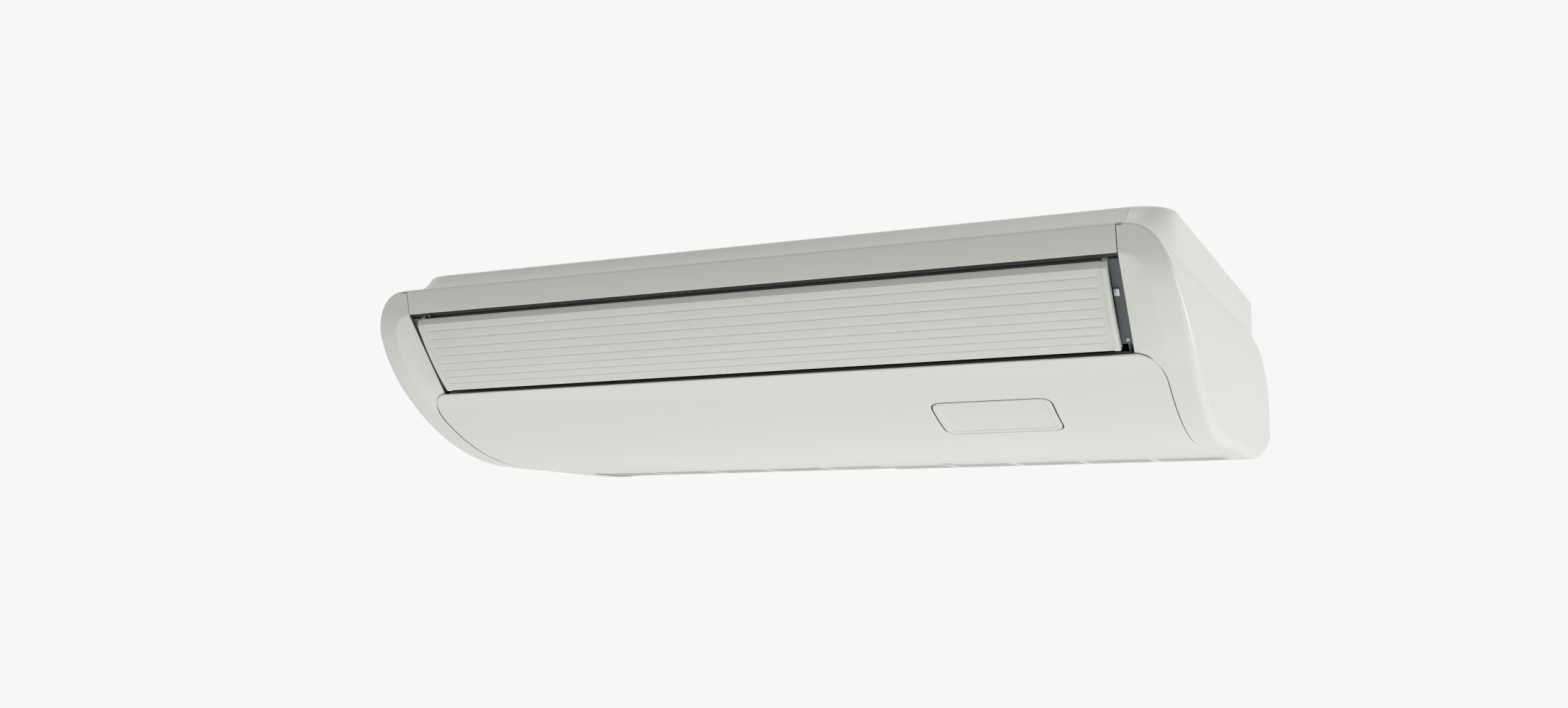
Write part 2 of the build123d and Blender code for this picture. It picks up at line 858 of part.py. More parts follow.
middle_row = tube_rows // 2
tube_run = [(row, 0) for row in range(middle_row - 1, -1, -1)]
tube_run += [(row, 1) for row in range(tube_rows)]
tube_run += [(row, 0) for row in range(tube_rows - 1, middle_row - 1, -1)]
gas_start = coil_point(*tube_run[0])
liquid_start = coil_point(*tube_run[-1])
drain_point = at(drain_back, drain_height)

with BuildPart() as chassis_side_left:
    mirror(chassis_side_right.part, about=Plane.YZ)
    with BuildSketch(Plane.YZ.offset(-plate_x)):
        with Locations(gas_start):
            Circle(gas_pipe_radius + 2 * seat)
        with Locations(liquid_start):
            Circle(liquid_pipe_radius + 2 * seat)
        with Locations(drain_point):
            Circle(drain_pipe_radius + seat)
    extrude(amount=-2 * sheet, mode=Mode.SUBTRACT)
save(chassis_side_left, "chassis_side_left")

# Partition plate between the coil and the fans, folded at top and bottom
mouth_top = fan_centre_height + scroll_top
partition_top = height - casing_wall - top_clearance
with BuildPart() as partition_plate:
    with BuildSketch(across(partition_back)):
        with Locations((0, (partition_bottom + partition_top) / 2)):
            Rectangle(2 * (plate_x - seat), partition_top - partition_bottom)
        for side in (-1, 1):
            with Locations((side * fan_offset, mouth_top - mouth_height / 2)):
                Rectangle(housing_width + 2 * seat, mouth_height + 2 * seat, mode=Mode.SUBTRACT)
    extrude(amount=-sheet)
    with BuildSketch(across(partition_back)):
        with Locations((0, partition_bottom + sheet / 2)):
            Rectangle(2 * (plate_x - seat), sheet)
    extrude(amount=-partition_fold)
    with BuildSketch(across(partition_back)):
        with Locations((0, partition_top - sheet / 2)):
            Rectangle(2 * (plate_x - seat), sheet)
    extrude(amount=-partition_fold)
save(partition_plate, "partition_plate")

# Outlet duct: sloping floor and roof, end walls, gussets and lips behind the trim
duct_half = outlet_half - duct_gap
duct_outer_half = duct_half + duct_wall
duct_slope = (duct_mouth_bottom[1] - duct_rear_bottom_height) / (duct_rear_back - duct_mouth_bottom[0])


def duct_floor(back):
    """Height of the duct floor."""
    return duct_mouth_bottom[1] - duct_slope * (back - duct_mouth_bottom[0])


def duct_roof(back):
    """Height of the duct roof, which has one bend."""
    if back < duct_bend_top[0]:
        share = (back - duct_mouth_top[0]) / (duct_bend_top[0] - duct_mouth_top[0])
        return duct_mouth_top[1] + share * (duct_bend_top[1] - duct_mouth_top[1])
    share = (back - duct_bend_top[0]) / (duct_rear_back - duct_bend_top[0])
    return duct_bend_top[1] + share * (duct_rear_top_height - duct_bend_top[1])


def vane_x(side, number):
    """Place of one vane across the unit."""
    return side * (vane_first + number * vane_pitch)


roof_strip = envelope(wall + seat + duct_wall)
with BuildPart() as roof_lip:
    add(shelf_body)
    add(roof_strip, mode=Mode.SUBTRACT)
    with BuildSketch(across(0)):
        with Locations((0, (duct_mouth_top[1] + duct_bend_top[1]) / 2)):
            Rectangle(2 * duct_outer_half, duct_bend_top[1] - duct_mouth_top[1])
    extrude(amount=-duct_bend_top[0], mode=Mode.INTERSECT)

with BuildPart() as outlet_frame:
    with BuildSketch(Plane.YZ):
        with BuildLine():
            Polyline(
                at(*duct_mouth_bottom),
                at(duct_rear_back, duct_rear_bottom_height),
                at(duct_rear_back, duct_rear_bottom_height - duct_wall),
                at(duct_foot_back, duct_floor(duct_foot_back) - duct_wall),
                at(duct_foot_back, panel_top_height + seat),
                at(outlet_bottom_back + duct_wall, panel_top_height + seat),
                at(*duct_mouth_bottom),
            )
        make_face()
        with BuildLine():
            roof_front = duct_mouth_top[0] - duct_wall / 2
            Polyline(
                at(roof_front, duct_roof(roof_front)),
                at(*duct_bend_top),
                at(duct_rear_back, duct_rear_top_height),
                at(duct_rear_back, duct_rear_top_height + duct_wall),
                at(duct_bend_top[0], duct_bend_top[1] + duct_wall),
                at(roof_front, duct_roof(roof_front) + duct_wall),
                at(roof_front, duct_roof(roof_front)),
            )
        make_face()
    extrude(amount=duct_outer_half, both=True)
    for side in (-1, 1):
        with BuildSketch(Plane.YZ.offset(side * duct_half)):
            with BuildLine():
                Polyline(
                    at(*duct_mouth_bottom),
                    at(duct_rear_back, duct_rear_bottom_height),
                    at(duct_rear_back, duct_rear_top_height),
                    at(*duct_bend_top),
                    at(duct_mouth_top[0] + duct_wall, duct_roof(duct_mouth_top[0] + duct_wall)),
                    at(duct_mouth_top[0] + 2 * duct_wall, duct_mouth_top[1] - duct_wall),
                    at(*duct_mouth_bottom),
                )
            make_face()
            with Locations(flap_pivot):
                Circle(flap_pin_radius + running, mode=Mode.SUBTRACT)
        extrude(amount=side * duct_wall)
    add(roof_lip.part)
    for spot in gusset_positions:
        with BuildSketch(Plane.YZ.offset(spot - gusset_thickness / 2)):
            with BuildLine():
                gusset_front = duct_mouth_top[0] + 2 * duct_wall
                Polyline(
                    at(gusset_front, duct_roof(gusset_front) + duct_wall / 2),
                    at(gusset_front, duct_mouth_top[1] - duct_wall),
                    at(duct_bend_top[0], duct_bend_top[1] - duct_wall),
                    at(duct_bend_top[0], duct_bend_top[1] + duct_wall / 2),
                    at(gusset_front, duct_roof(gusset_front) + duct_wall / 2),
                )
            make_face()
        extrude(amount=gusset_thickness)
    with BuildSketch(Plane.XY):
        for side in (-1, 1):
            for number in range(vane_count):
                with Locations((vane_x(side, number), front + vane_pivot_back)):
                    Circle(vane_pin_radius + running)
    extrude(amount=height, mode=Mode.SUBTRACT)
save(outlet_frame, "outlet_frame")


# Flap: a long blade with fine grooves, carried by an end piece at each end
def flap_face(proud, thickness, grooves):
    """Section of the flap: an outward arc from top to bottom edge, and its inner side."""
    top = at(*flap_top)
    bottom = at(*flap_bottom)
    span = hypot(bottom[0] - top[0], bottom[1] - top[1])
    along = ((bottom[0] - top[0]) / span, (bottom[1] - top[1]) / span)
    outwards = (along[1], -along[0])

    def point(share, offset_out):
        bulge = 4 * flap_bulge * share * (1 - share) + offset_out
        return (top[0] + along[0] * span * share + outwards[0] * bulge,
                top[1] + along[1] * span * share + outwards[1] * bulge)

    with BuildSketch() as face:
        with BuildLine():
            ThreePointArc(point(0, proud), point(0.5, proud), point(1, proud))
            Line(point(1, proud), point(1, proud - thickness))
            ThreePointArc(point(1, proud - thickness), point(0.5, proud - thickness),
                          point(0, proud - thickness))
            Line(point(0, proud - thickness), point(0, proud))
        make_face()
        if grooves:
            step = (flap_last_groove - flap_first_groove) / (flap_groove_count - 1)
            for number in range(flap_groove_count):
                with Locations(point(flap_first_groove + number * step, 0)):
                    Circle(flap_groove_depth, mode=Mode.SUBTRACT)
    return face.sketch


with BuildPart() as flap_blade:
    with BuildSketch(Plane.YZ):
        add(flap_face(0, flap_thickness, True))
    extrude(amount=flap_half, both=True)
save(flap_blade, "flap_blade")

with BuildPart() as flap_end_right:
    with BuildSketch(Plane.YZ.offset(flap_half + seat)):
        add(flap_face(flap_end_proud, flap_end_depth, False))
        with BuildLine():
            Polyline(
                at(flap_arm_back, flap_pivot_height + 2 * flap_boss_radius),
                (flap_pivot[0] + flap_boss_radius / 2, flap_pivot[1] + flap_boss_radius / 2),
                (flap_pivot[0] - flap_boss_radius / 2, flap_pivot[1] - flap_boss_radius),
                at(flap_arm_back + flap_boss_radius, flap_pivot_height - flap_boss_radius),
                at(flap_arm_back, flap_pivot_height + 2 * flap_boss_radius),
            )
        make_face()
        with Locations(flap_pivot):
            Circle(flap_boss_radius)
    extrude(amount=flap_end_thickness)
    with BuildSketch(Plane.YZ.offset(flap_half + seat)):
        with Locations(flap_pivot):
            Circle(flap_pin_radius)
    extrude(amount=flap_motor_face - flap_half - seat + flap_pin_engagement)
save(flap_end_right, "flap_end_right")

with BuildPart() as flap_end_left:
    mirror(flap_end_right.part, about=Plane.YZ)
save(flap_end_left, "flap_end_left")

# Small geared motor that turns the flap, on its bracket
with BuildPart() as flap_motor:
    with BuildSketch(Plane.YZ.offset(flap_motor_face)):
        with Locations(flap_pivot):
            Circle(flap_motor_radius)
        with Locations(flap_pivot):
            with PolarLocations(flap_motor_ear_spacing / 2, 2, start_angle=chord_angle):
                Circle(flap_ear_radius)
        with Locations(flap_pivot):
            Rectangle(flap_motor_ear_spacing, 2 * flap_ear_radius, rotation=chord_angle)
    extrude(amount=flap_ear_thickness)
    with BuildSketch(Plane.YZ.offset(flap_motor_face)):
        with Locations(flap_pivot):
            Circle(flap_motor_radius)
    extrude(amount=flap_motor_length)
    with BuildSketch(Plane.YZ.offset(flap_motor_face)):
        with Locations(flap_pivot):
            with PolarLocations(flap_motor_ear_spacing / 2, 2, start_angle=chord_angle):
                Circle(flap_ear_hole_radius)
    extrude(amount=flap_ear_thickness, mode=Mode.SUBTRACT)
    with BuildSketch(Plane.YZ.offset(flap_motor_face)):
        with Locations(flap_pivot):
            Circle(flap_pin_radius + running)
    extrude(amount=flap_pin_engagement + seat, mode=Mode.SUBTRACT)
save(flap_motor, "flap_motor")

bracket_space = flap_motor_face - plate_x - sheet
with BuildPart() as flap_motor_bracket:
    with BuildSketch(Plane.YZ.offset(plate_x + sheet + seat / 2)):
        with Locations(flap_pivot):
            Rectangle(flap_motor_ear_spacing + 4 * flap_ear_radius, 2 * flap_motor_radius,
                      rotation=chord_angle)
            Circle(flap_motor_radius - flap_ear_radius, mode=Mode.SUBTRACT)
    extrude(amount=bracket_space - seat)
save(flap_motor_bracket, "flap_motor_bracket")

# Upright vanes in two banks of four, each on pins between floor and roof
for bank, side in (("left", -1), ("right", 1)):
    for number in range(vane_count):
        with BuildPart() as vane:
            with BuildSketch(Plane.XY.offset(vane_bottom_height)):
                vane_middle_back = vane_pivot_back - vane_nose + vane_length / 2
                with Locations((vane_x(side, number), front + vane_middle_back)):
                    SlotOverall(vane_length, vane_thickness, rotation=90)
                with Locations((vane_x(side, number), front + vane_pivot_back)):
                    Circle(vane_boss_radius)
            extrude(amount=vane_top_height - vane_bottom_height)
            pin_low = duct_floor(vane_pivot_back) - duct_wall
            pin_high = duct_roof(vane_pivot_back) + duct_wall
            with BuildSketch(Plane.XY.offset(pin_low)):
                with Locations((vane_x(side, number), front + vane_pivot_back)):
                    Circle(vane_pin_radius)
            extrude(amount=pin_high - pin_low)
            with BuildSketch(Plane.XY.offset(link_height - link_thickness / 2)):
                with Locations((vane_x(side, number), front + vane_pivot_back + vane_crank)):
                    Circle(vane_crank_radius)
            extrude(amount=vane_bottom_height - link_height + link_thickness)
        save(vane, f"vane_{bank}_{number + 1}")

link_slot = 2 * (vane_crank_radius + link_play)
link_swing = vane_crank * (1 - cos(radians(vane_swing)))
link_span = (vane_count - 1) * vane_pitch
for bank, side in (("left", -1), ("right", 1)):
    with BuildPart() as link:
        with BuildSketch(Plane.XY.offset(link_height)):
            with Locations((vane_x(side, (vane_count - 1) / 2), front + vane_pivot_back + vane_crank)):
                RectangleRounded(link_span + 2 * link_width, link_width, link_width / 3)
            for number in range(vane_count):
                with Locations((vane_x(side, number),
                                front + vane_pivot_back + vane_crank - link_swing / 2)):
                    SlotOverall(link_slot + link_swing, link_slot, rotation=90, mode=Mode.SUBTRACT)
        extrude(amount=link_thickness)
    save(link, f"link_{bank}")

# Drain pan below the coil, the full width between the chassis plates
pan_half = plate_x - seat


def pan_face(inset):
    """Section of the drain pan as a face; the inset one is its hollow, open upwards."""
    with BuildSketch() as face:
        with BuildLine():
            rim = inset * height
            Polyline(
                at(duct_rear_back + seat + inset, pan_front_top_height + rim),
                at(duct_rear_back + seat + inset, pan_front_height + inset),
                at(pan_floor_back + inset / 2, pan_bottom_height + inset),
                at(pan_rear_back - inset, pan_bottom_height + inset),
                at(pan_rear_back - inset, pan_rear_height + rim),
                at(duct_rear_back + seat + inset, pan_front_top_height + rim),
            )
        make_face()
    return face.sketch


with BuildPart() as drain_pan:
    with BuildSketch(Plane.YZ):
        add(pan_face(0))
    extrude(amount=pan_half, both=True)
    with BuildSketch(Plane.YZ):
        add(pan_face(pan_wall))
    extrude(amount=pan_half - pan_wall, both=True, mode=Mode.SUBTRACT)
    with BuildSketch(Plane.YZ.offset(-pan_half - seat)):
        with Locations(drain_point):
            Circle(drain_pipe_radius - drain_wall)
    extrude(amount=2 * pan_wall, mode=Mode.SUBTRACT)
save(drain_pan, "drain_pan")

# Coil: fins on tubes, joined by return bends, between two end plates
coil_plane = Plane((0, *at(coil_centre_back, coil_centre_height)), x_dir=(0, *coil_along), z_dir=(1, 0, 0))
tube_field = (tube_row_pitch, tube_column_pitch, tube_rows, 2)
tube_end = coil_half + coil_plate_thickness + bend_stub
fin_count = 2 * int((coil_half - fin_pitch / 2) / fin_pitch) + 1

with BuildPart() as one_fin:
    with BuildSketch(coil_plane.offset(-fin_thickness / 2)):
        Rectangle(coil_length, coil_depth)
        with GridLocations(*tube_field):
            Circle(tube_radius + push_fit, mode=Mode.SUBTRACT)
    extrude(amount=fin_thickness)

with BuildPart() as coil_fins:
    with GridLocations(fin_pitch, 1, fin_count, 1):
        add(one_fin.part)
save(coil_fins, "coil_fins")

with BuildPart() as coil_tubes:
    with BuildSketch(coil_plane.offset(-tube_end)):
        with GridLocations(*tube_field):
            Circle(tube_radius)
    extrude(amount=2 * tube_end)
    for step in range(len(tube_run) - 1):
        start = coil_point(*tube_run[step])
        finish = coil_point(*tube_run[step + 1])
        outwards = 1 if step % 2 == 0 else -1
        middle = ((start[0] + finish[0]) / 2, (start[1] + finish[1]) / 2)
        bend_radius = hypot(finish[0] - start[0], finish[1] - start[1]) / 2
        with BuildLine() as bend_path:
            ThreePointArc((outwards * tube_end, *start), (outwards * (tube_end + bend_radius), *middle),
                          (outwards * tube_end, *finish))
        with BuildSketch(Plane((outwards * tube_end, *start), z_dir=(outwards, 0, 0))):
            Circle(tube_radius)
        sweep(path=bend_path)
save(coil_tubes, "coil_tubes")

with BuildPart() as coil_end_right:
    with BuildSketch(coil_plane.offset(coil_half)):
        Rectangle(coil_length, coil_depth)
        with GridLocations(*tube_field):
            Circle(tube_radius + push_fit, mode=Mode.SUBTRACT)
    extrude(amount=coil_plate_thickness)
    with BuildSketch(coil_plane.offset(coil_half)):
        with Locations((-(coil_length - coil_plate_thickness) / 2, 0)):
            Rectangle(coil_plate_thickness, coil_depth)
    extrude(amount=plate_x - seat - coil_half)
save(coil_end_right, "coil_end_right")

with BuildPart() as coil_end_left:
    mirror(coil_end_right.part, about=Plane.YZ)
save(coil_end_left, "coil_end_left")


# Pipes in the left end, from the coil and the pan to the rear
gas_pipe_height = gas_start[1]
with BuildPart() as gas_pipe:
    with BuildLine() as gas_route:
        FilletPolyline((-tube_end - push_fit, *gas_start), (-pipe_x, *gas_start),
                       (-pipe_x, front + pipe_end_back, gas_pipe_height), radius=gas_pipe_bend)
    with BuildSketch(Plane((-tube_end - push_fit, *gas_start), z_dir=(-1, 0, 0))):
        Circle(gas_pipe_radius)
    sweep(path=gas_route)
save(gas_pipe, "gas_pipe")

with BuildPart() as liquid_pipe:
    with BuildLine() as liquid_route:
        FilletPolyline((-tube_end - push_fit, *liquid_start), (-pipe_x, *liquid_start),
                       (-pipe_x, liquid_start[0], liquid_pipe_height),
                       (-pipe_x, front + pipe_end_back, liquid_pipe_height), radius=liquid_pipe_bend)
    with BuildSketch(Plane((-tube_end - push_fit, *liquid_start), z_dir=(-1, 0, 0))):
        Circle(liquid_pipe_radius)
    sweep(path=liquid_route)
save(liquid_pipe, "liquid_pipe")

with BuildPart() as flare_unions:
    for radius, union_radius, up in (
        (gas_pipe_radius, gas_union_radius, gas_pipe_height),
        (liquid_pipe_radius, liquid_union_radius, liquid_pipe_height),
    ):
        with BuildSketch(across(pipe_end_back - union_hex_length)):
            with Locations((-pipe_x, up)):
                RegularPolygon(union_radius + union_hex, 6)
        extrude(amount=-union_hex_length)
        with BuildSketch(across(pipe_end_back)):
            with Locations((-pipe_x, up)):
                Circle(union_radius)
        extrude(amount=-union_length)
        with BuildSketch(across(pipe_end_back - union_hex_length)):
            with Locations((-pipe_x, up)):
                Circle(radius + push_fit)
        extrude(amount=-union_hex_length - push_fit, mode=Mode.SUBTRACT)
save(flare_unions, "flare_unions")

drain_start_x = -pan_half - seat
with BuildPart() as drain_socket:
    with BuildLine() as drain_route:
        FilletPolyline((drain_start_x, *drain_point), (-drain_x, *drain_point),
                       (-drain_x, front + drain_end_back, drain_height), radius=drain_bend)
    with BuildSketch(Plane((drain_start_x, *drain_point), z_dir=(-1, 0, 0))):
        Circle(drain_pipe_radius)
    sweep(path=drain_route)
    with BuildSketch(across(drain_end_back - drain_socket_length)):
        with Locations((-drain_x, drain_height)):
            Circle(drain_socket_radius)
    extrude(amount=-drain_socket_length)
    with BuildSketch(Plane((drain_start_x, *drain_point), z_dir=(-1, 0, 0))):
        Circle(drain_pipe_radius - drain_wall)
    sweep(path=drain_route, mode=Mode.SUBTRACT)
    with BuildSketch(across(drain_end_back - drain_socket_length + drain_wall)):
        with Locations((-drain_x, drain_height)):
            Circle(drain_socket_radius - drain_wall)
    extrude(amount=-drain_socket_length, mode=Mode.SUBTRACT)
save(drain_socket, "drain_socket")


# Fans: two scroll housings, each with a wheel, on one shaft through the motor
fan_centre = at(fan_centre_back, fan_centre_height)


def scroll_face(inset):
    """Section of a scroll: four quarter ellipses about the shaft, and a mouth to the front."""
    with BuildSketch() as face:
        with BuildLine():
            top = scroll_top - inset
            rear = scroll_rear - inset
            bottom = scroll_bottom - inset
            lead = scroll_front - inset
            mouth_low = fan_centre_height + scroll_top - mouth_height + inset
            mouth_front = partition_back - inset
            EllipticalCenterArc(fan_centre, rear, top, start_angle=0, arc_size=90)
            EllipticalCenterArc(fan_centre, rear, bottom, start_angle=270, arc_size=90)
            EllipticalCenterArc(fan_centre, lead, bottom, start_angle=180, arc_size=90)
            Line((fan_centre[0] - lead, fan_centre[1]), at(fan_centre_back - lead, mouth_low))
            Line(at(fan_centre_back - lead, mouth_low), at(mouth_front, mouth_low))
            Line(at(mouth_front, mouth_low), at(mouth_front, fan_centre_height + top))
            Line(at(mouth_front, fan_centre_height + top), (fan_centre[0], fan_centre[1] + top))
        make_face()
    return face.sketch


with BuildPart() as fan_housing_right:
    with BuildSketch(Plane.YZ.offset(fan_offset)):
        add(scroll_face(0))
    extrude(amount=housing_width / 2, both=True)
    with BuildSketch(across(partition_back + sheet + seat)):
        with Locations((fan_offset, mouth_top - mouth_height / 2)):
            Rectangle(housing_width + 2 * mouth_flange, mouth_height)
    extrude(amount=-housing_wall)
    with BuildSketch(Plane.YZ.offset(fan_offset)):
        add(scroll_face(housing_wall))
    extrude(amount=housing_width / 2 - housing_wall, both=True, mode=Mode.SUBTRACT)
    with BuildSketch(across(partition_back - housing_wall)):
        with Locations((fan_offset, mouth_top - mouth_height / 2)):
            Rectangle(housing_width - 2 * housing_wall, mouth_height - 2 * housing_wall)
    extrude(amount=-3 * housing_wall, mode=Mode.SUBTRACT)
    with BuildSketch(Plane.YZ.offset(fan_offset)):
        with Locations(fan_centre):
            Circle(inlet_radius)
    extrude(amount=housing_width, both=True, mode=Mode.SUBTRACT)
save(fan_housing_right, "fan_housing_right")

with BuildPart() as fan_housing_left:
    mirror(fan_housing_right.part, about=Plane.YZ)
save(fan_housing_left, "fan_housing_left")

with BuildPart() as fan_wheel_right:
    with BuildSketch(Plane.YZ.offset(fan_offset)):
        with Locations(fan_centre):
            with PolarLocations(wheel_radius - wheel_ring_width / 2 - running, wheel_blades):
                Rectangle(wheel_ring_width, blade_thickness, rotation=blade_angle)
    extrude(amount=wheel_width / 2, both=True)
    for end in (-1, 1):
        with BuildSketch(Plane.YZ.offset(fan_offset + end * wheel_width / 2)):
            with Locations(fan_centre):
                Circle(wheel_radius)
                Circle(wheel_radius - wheel_ring_width, mode=Mode.SUBTRACT)
        extrude(amount=-end * wheel_ring_thickness)
    with BuildSketch(Plane.YZ.offset(fan_offset)):
        with Locations(fan_centre):
            Circle(wheel_radius)
    extrude(amount=wheel_disc / 2, both=True)
    with BuildSketch(Plane.YZ.offset(fan_offset)):
        with Locations(fan_centre):
            Circle(hub_radius)
    extrude(amount=hub_length / 2, both=True)
    with BuildSketch(Plane.YZ.offset(fan_offset)):
        with Locations(fan_centre):
            Circle(shaft_radius + push_fit)
    extrude(amount=hub_length, both=True, mode=Mode.SUBTRACT)
save(fan_wheel_right, "fan_wheel_right")

with BuildPart() as fan_wheel_left:
    mirror(fan_wheel_right.part, about=Plane.YZ)
save(fan_wheel_left, "fan_wheel_left")

with BuildPart() as fan_shaft:
    with BuildSketch(Plane.YZ):
        with Locations(fan_centre):
            Circle(shaft_radius)
    extrude(amount=fan_offset + hub_length / 2 + shaft_overhang, both=True)
save(fan_shaft, "fan_shaft")

# Fan motor on its bracket, held down by two straps
with BuildPart() as fan_motor:
    with BuildSketch(Plane.YZ):
        with Locations(fan_centre):
            Circle(motor_radius)
    extrude(amount=motor_length / 2, both=True)
    with BuildSketch(Plane.YZ):
        with Locations(fan_centre):
            Circle(motor_nose_radius)
    extrude(amount=motor_length / 2 + motor_nose_length, both=True)
    with BuildSketch(Plane.YZ):
        with Locations(fan_centre):
            Circle(shaft_radius + running)
    extrude(amount=motor_length, both=True, mode=Mode.SUBTRACT)
save(fan_motor, "fan_motor")

bracket_front = partition_back + sheet + seat
bracket_rear = fan_centre_back + motor_radius
with BuildPart() as motor_bracket:
    with BuildSketch(across(bracket_front)):
        with Locations((0, (shelf_height + shelf_plate_top) / 2)):
            Rectangle(motor_length, shelf_plate_top - shelf_height)
    extrude(amount=-bracket_thickness)
    with BuildSketch(Plane.XY.offset(shelf_height)):
        with Locations((0, front + (bracket_front + bracket_rear) / 2)):
            Rectangle(motor_length, bracket_rear - bracket_front)
    extrude(amount=bracket_thickness)
    for end in (-1, 1):
        with BuildSketch(Plane.YZ.offset(end * strap_place - strap_width / 2)):
            with Locations(at(fan_centre_back, (shelf_height + saddle_top) / 2)):
                Rectangle(saddle_width, saddle_top - shelf_height)
            with Locations(fan_centre):
                Circle(motor_radius + push_fit, mode=Mode.SUBTRACT)
        extrude(amount=strap_width)
save(motor_bracket, "motor_bracket")

with BuildPart() as motor_straps:
    for end in (-1, 1):
        with BuildSketch(Plane.YZ.offset(end * strap_place - strap_width / 2)):
            with Locations(fan_centre):
                Circle(motor_radius + strap_thickness + seat)
            with Locations(at(fan_centre_back, saddle_top + strap_thickness / 2 + seat / 2)):
                Rectangle(2 * (motor_radius + strap_foot), strap_thickness + seat)
            with Locations(at(fan_centre_back, (saddle_top + seat) / 2)):
                Rectangle(4 * motor_radius, saddle_top + seat, mode=Mode.SUBTRACT)
            with Locations(fan_centre):
                Circle(motor_radius + seat, mode=Mode.SUBTRACT)
        extrude(amount=strap_width)
save(motor_straps, "motor_straps")

# Electrical box against the right plate, with its lid, board and terminals
box_outer_x = plate_x - seat
box_middle_x = (box_inner_x + box_outer_x) / 2
box_width = box_outer_x - box_inner_x
box_length = box_rear_back - box_front_back
box_middle_back = (box_front_back + box_rear_back) / 2
with BuildPart() as electrical_box:
    with BuildSketch(Plane.XY.offset(box_bottom_height)):
        with Locations((box_middle_x, front + box_middle_back)):
            Rectangle(box_width, box_length)
    extrude(amount=box_top_height - box_bottom_height)
    with BuildSketch(Plane.XY.offset(box_bottom_height)):
        with Locations((box_middle_x, front + box_middle_back)):
            Rectangle(box_width - 2 * box_sheet, box_length - 2 * box_sheet)
    extrude(amount=box_top_height - box_bottom_height - box_sheet, mode=Mode.SUBTRACT)
    with BuildSketch(Plane.XY.offset(box_top_height - box_sheet)):
        with Locations((box_middle_x, front + board_back)):
            with GridLocations(board_width - 4 * standoff_radius, board_length - 4 * standoff_radius, 2, 2):
                Circle(standoff_radius)
    extrude(amount=-standoff)
save(electrical_box, "electrical_box")

with BuildPart() as electrical_box_cover:
    with BuildSketch(Plane.XY.offset(box_bottom_height - seat)):
        with Locations((box_middle_x, front + box_middle_back)):
            Rectangle(box_width, box_length)
    extrude(amount=-box_sheet)
    with BuildSketch(Plane.XY.offset(box_bottom_height - seat)):
        with Locations((box_middle_x, front + box_middle_back)):
            Rectangle(box_width - 2 * box_sheet - 2 * seat, box_length - 2 * box_sheet - 2 * seat)
            Rectangle(box_width - 4 * box_sheet - 2 * seat, box_length - 4 * box_sheet - 2 * seat,
                      mode=Mode.SUBTRACT)
    extrude(amount=box_lid_lip)
save(electrical_box_cover, "electrical_box_cover")

board_height = box_top_height - box_sheet - standoff - seat - board_thickness
with BuildPart() as control_board:
    with BuildSketch(Plane.XY.offset(board_height)):
        with Locations((box_middle_x, front + board_back)):
            Rectangle(board_width, board_length)
    extrude(amount=board_thickness)
    for along, size, drop in ((-40.0, 16.0, 22.0), (-5.0, 22.0, 16.0), (35.0, 12.0, 26.0)):
        with BuildSketch(Plane.XY.offset(board_height)):
            with Locations((box_middle_x, front + board_back + along)):
                RectangleRounded(2 * size, size, size / 8)
        extrude(amount=-drop)
save(control_board, "control_board")

with BuildPart() as terminal_block:
    with BuildSketch(Plane.XY.offset(terminal_height)):
        with Locations((box_outer_x - box_sheet - seat - terminal_depth / 2, front + terminal_back)):
            Rectangle(terminal_depth, terminal_length)
    extrude(amount=terminal_drop)
    with BuildSketch(Plane.XY.offset(terminal_height)):
        with Locations((box_outer_x - box_sheet - seat - terminal_depth / 2, front + terminal_back)):
            with GridLocations(1, terminal_pitch, 1, terminal_count):
                Circle(terminal_screw_radius)
    extrude(amount=terminal_drop / 3, mode=Mode.SUBTRACT)
save(terminal_block, "terminal_block")

# Hanger brackets on the outer faces of the chassis plates, with slotted tabs
hanger_x = plate_x + sheet + seat
hanger_tab_end = casing_half - casing_wall - hanger_end_gap
hanger_middle_back = slot_front_back + slot_spacing / 2
with BuildPart() as hanger_bracket_right:
    with BuildSketch(Plane.YZ.offset(hanger_x)):
        with Locations(at(hanger_middle_back, hanger_tab_height - hanger_drop / 2)):
            Rectangle(slot_spacing + hanger_tab_length, hanger_drop)
        with Locations(at(hanger_middle_back, hanger_tab_height - hanger_drop / 2)):
            with GridLocations(slot_spacing, hanger_drop / 2, 2, 2):
                Circle(screw_radius + seat, mode=Mode.SUBTRACT)
    extrude(amount=hanger_thickness)
    with BuildSketch(Plane.XY.offset(hanger_tab_height)):
        for spot in range(2):
            with Locations(((hanger_x + hanger_tab_end) / 2,
                            front + slot_front_back + spot * slot_spacing)):
                Rectangle(hanger_tab_end - hanger_x, hanger_tab_length)
    extrude(amount=-hanger_thickness)
    with BuildSketch(Plane.XY.offset(hanger_tab_height)):
        for spot in range(2):
            with Locations((slot_x, front + slot_front_back + spot * slot_spacing)):
                SlotOverall(slot_length, slot_width)
    extrude(amount=-2 * hanger_thickness, mode=Mode.SUBTRACT)
save(hanger_bracket_right, "hanger_bracket_right")

with BuildPart() as hanger_bracket_left:
    mirror(hanger_bracket_right.part, about=Plane.YZ)
save(hanger_bracket_left, "hanger_bracket_left")

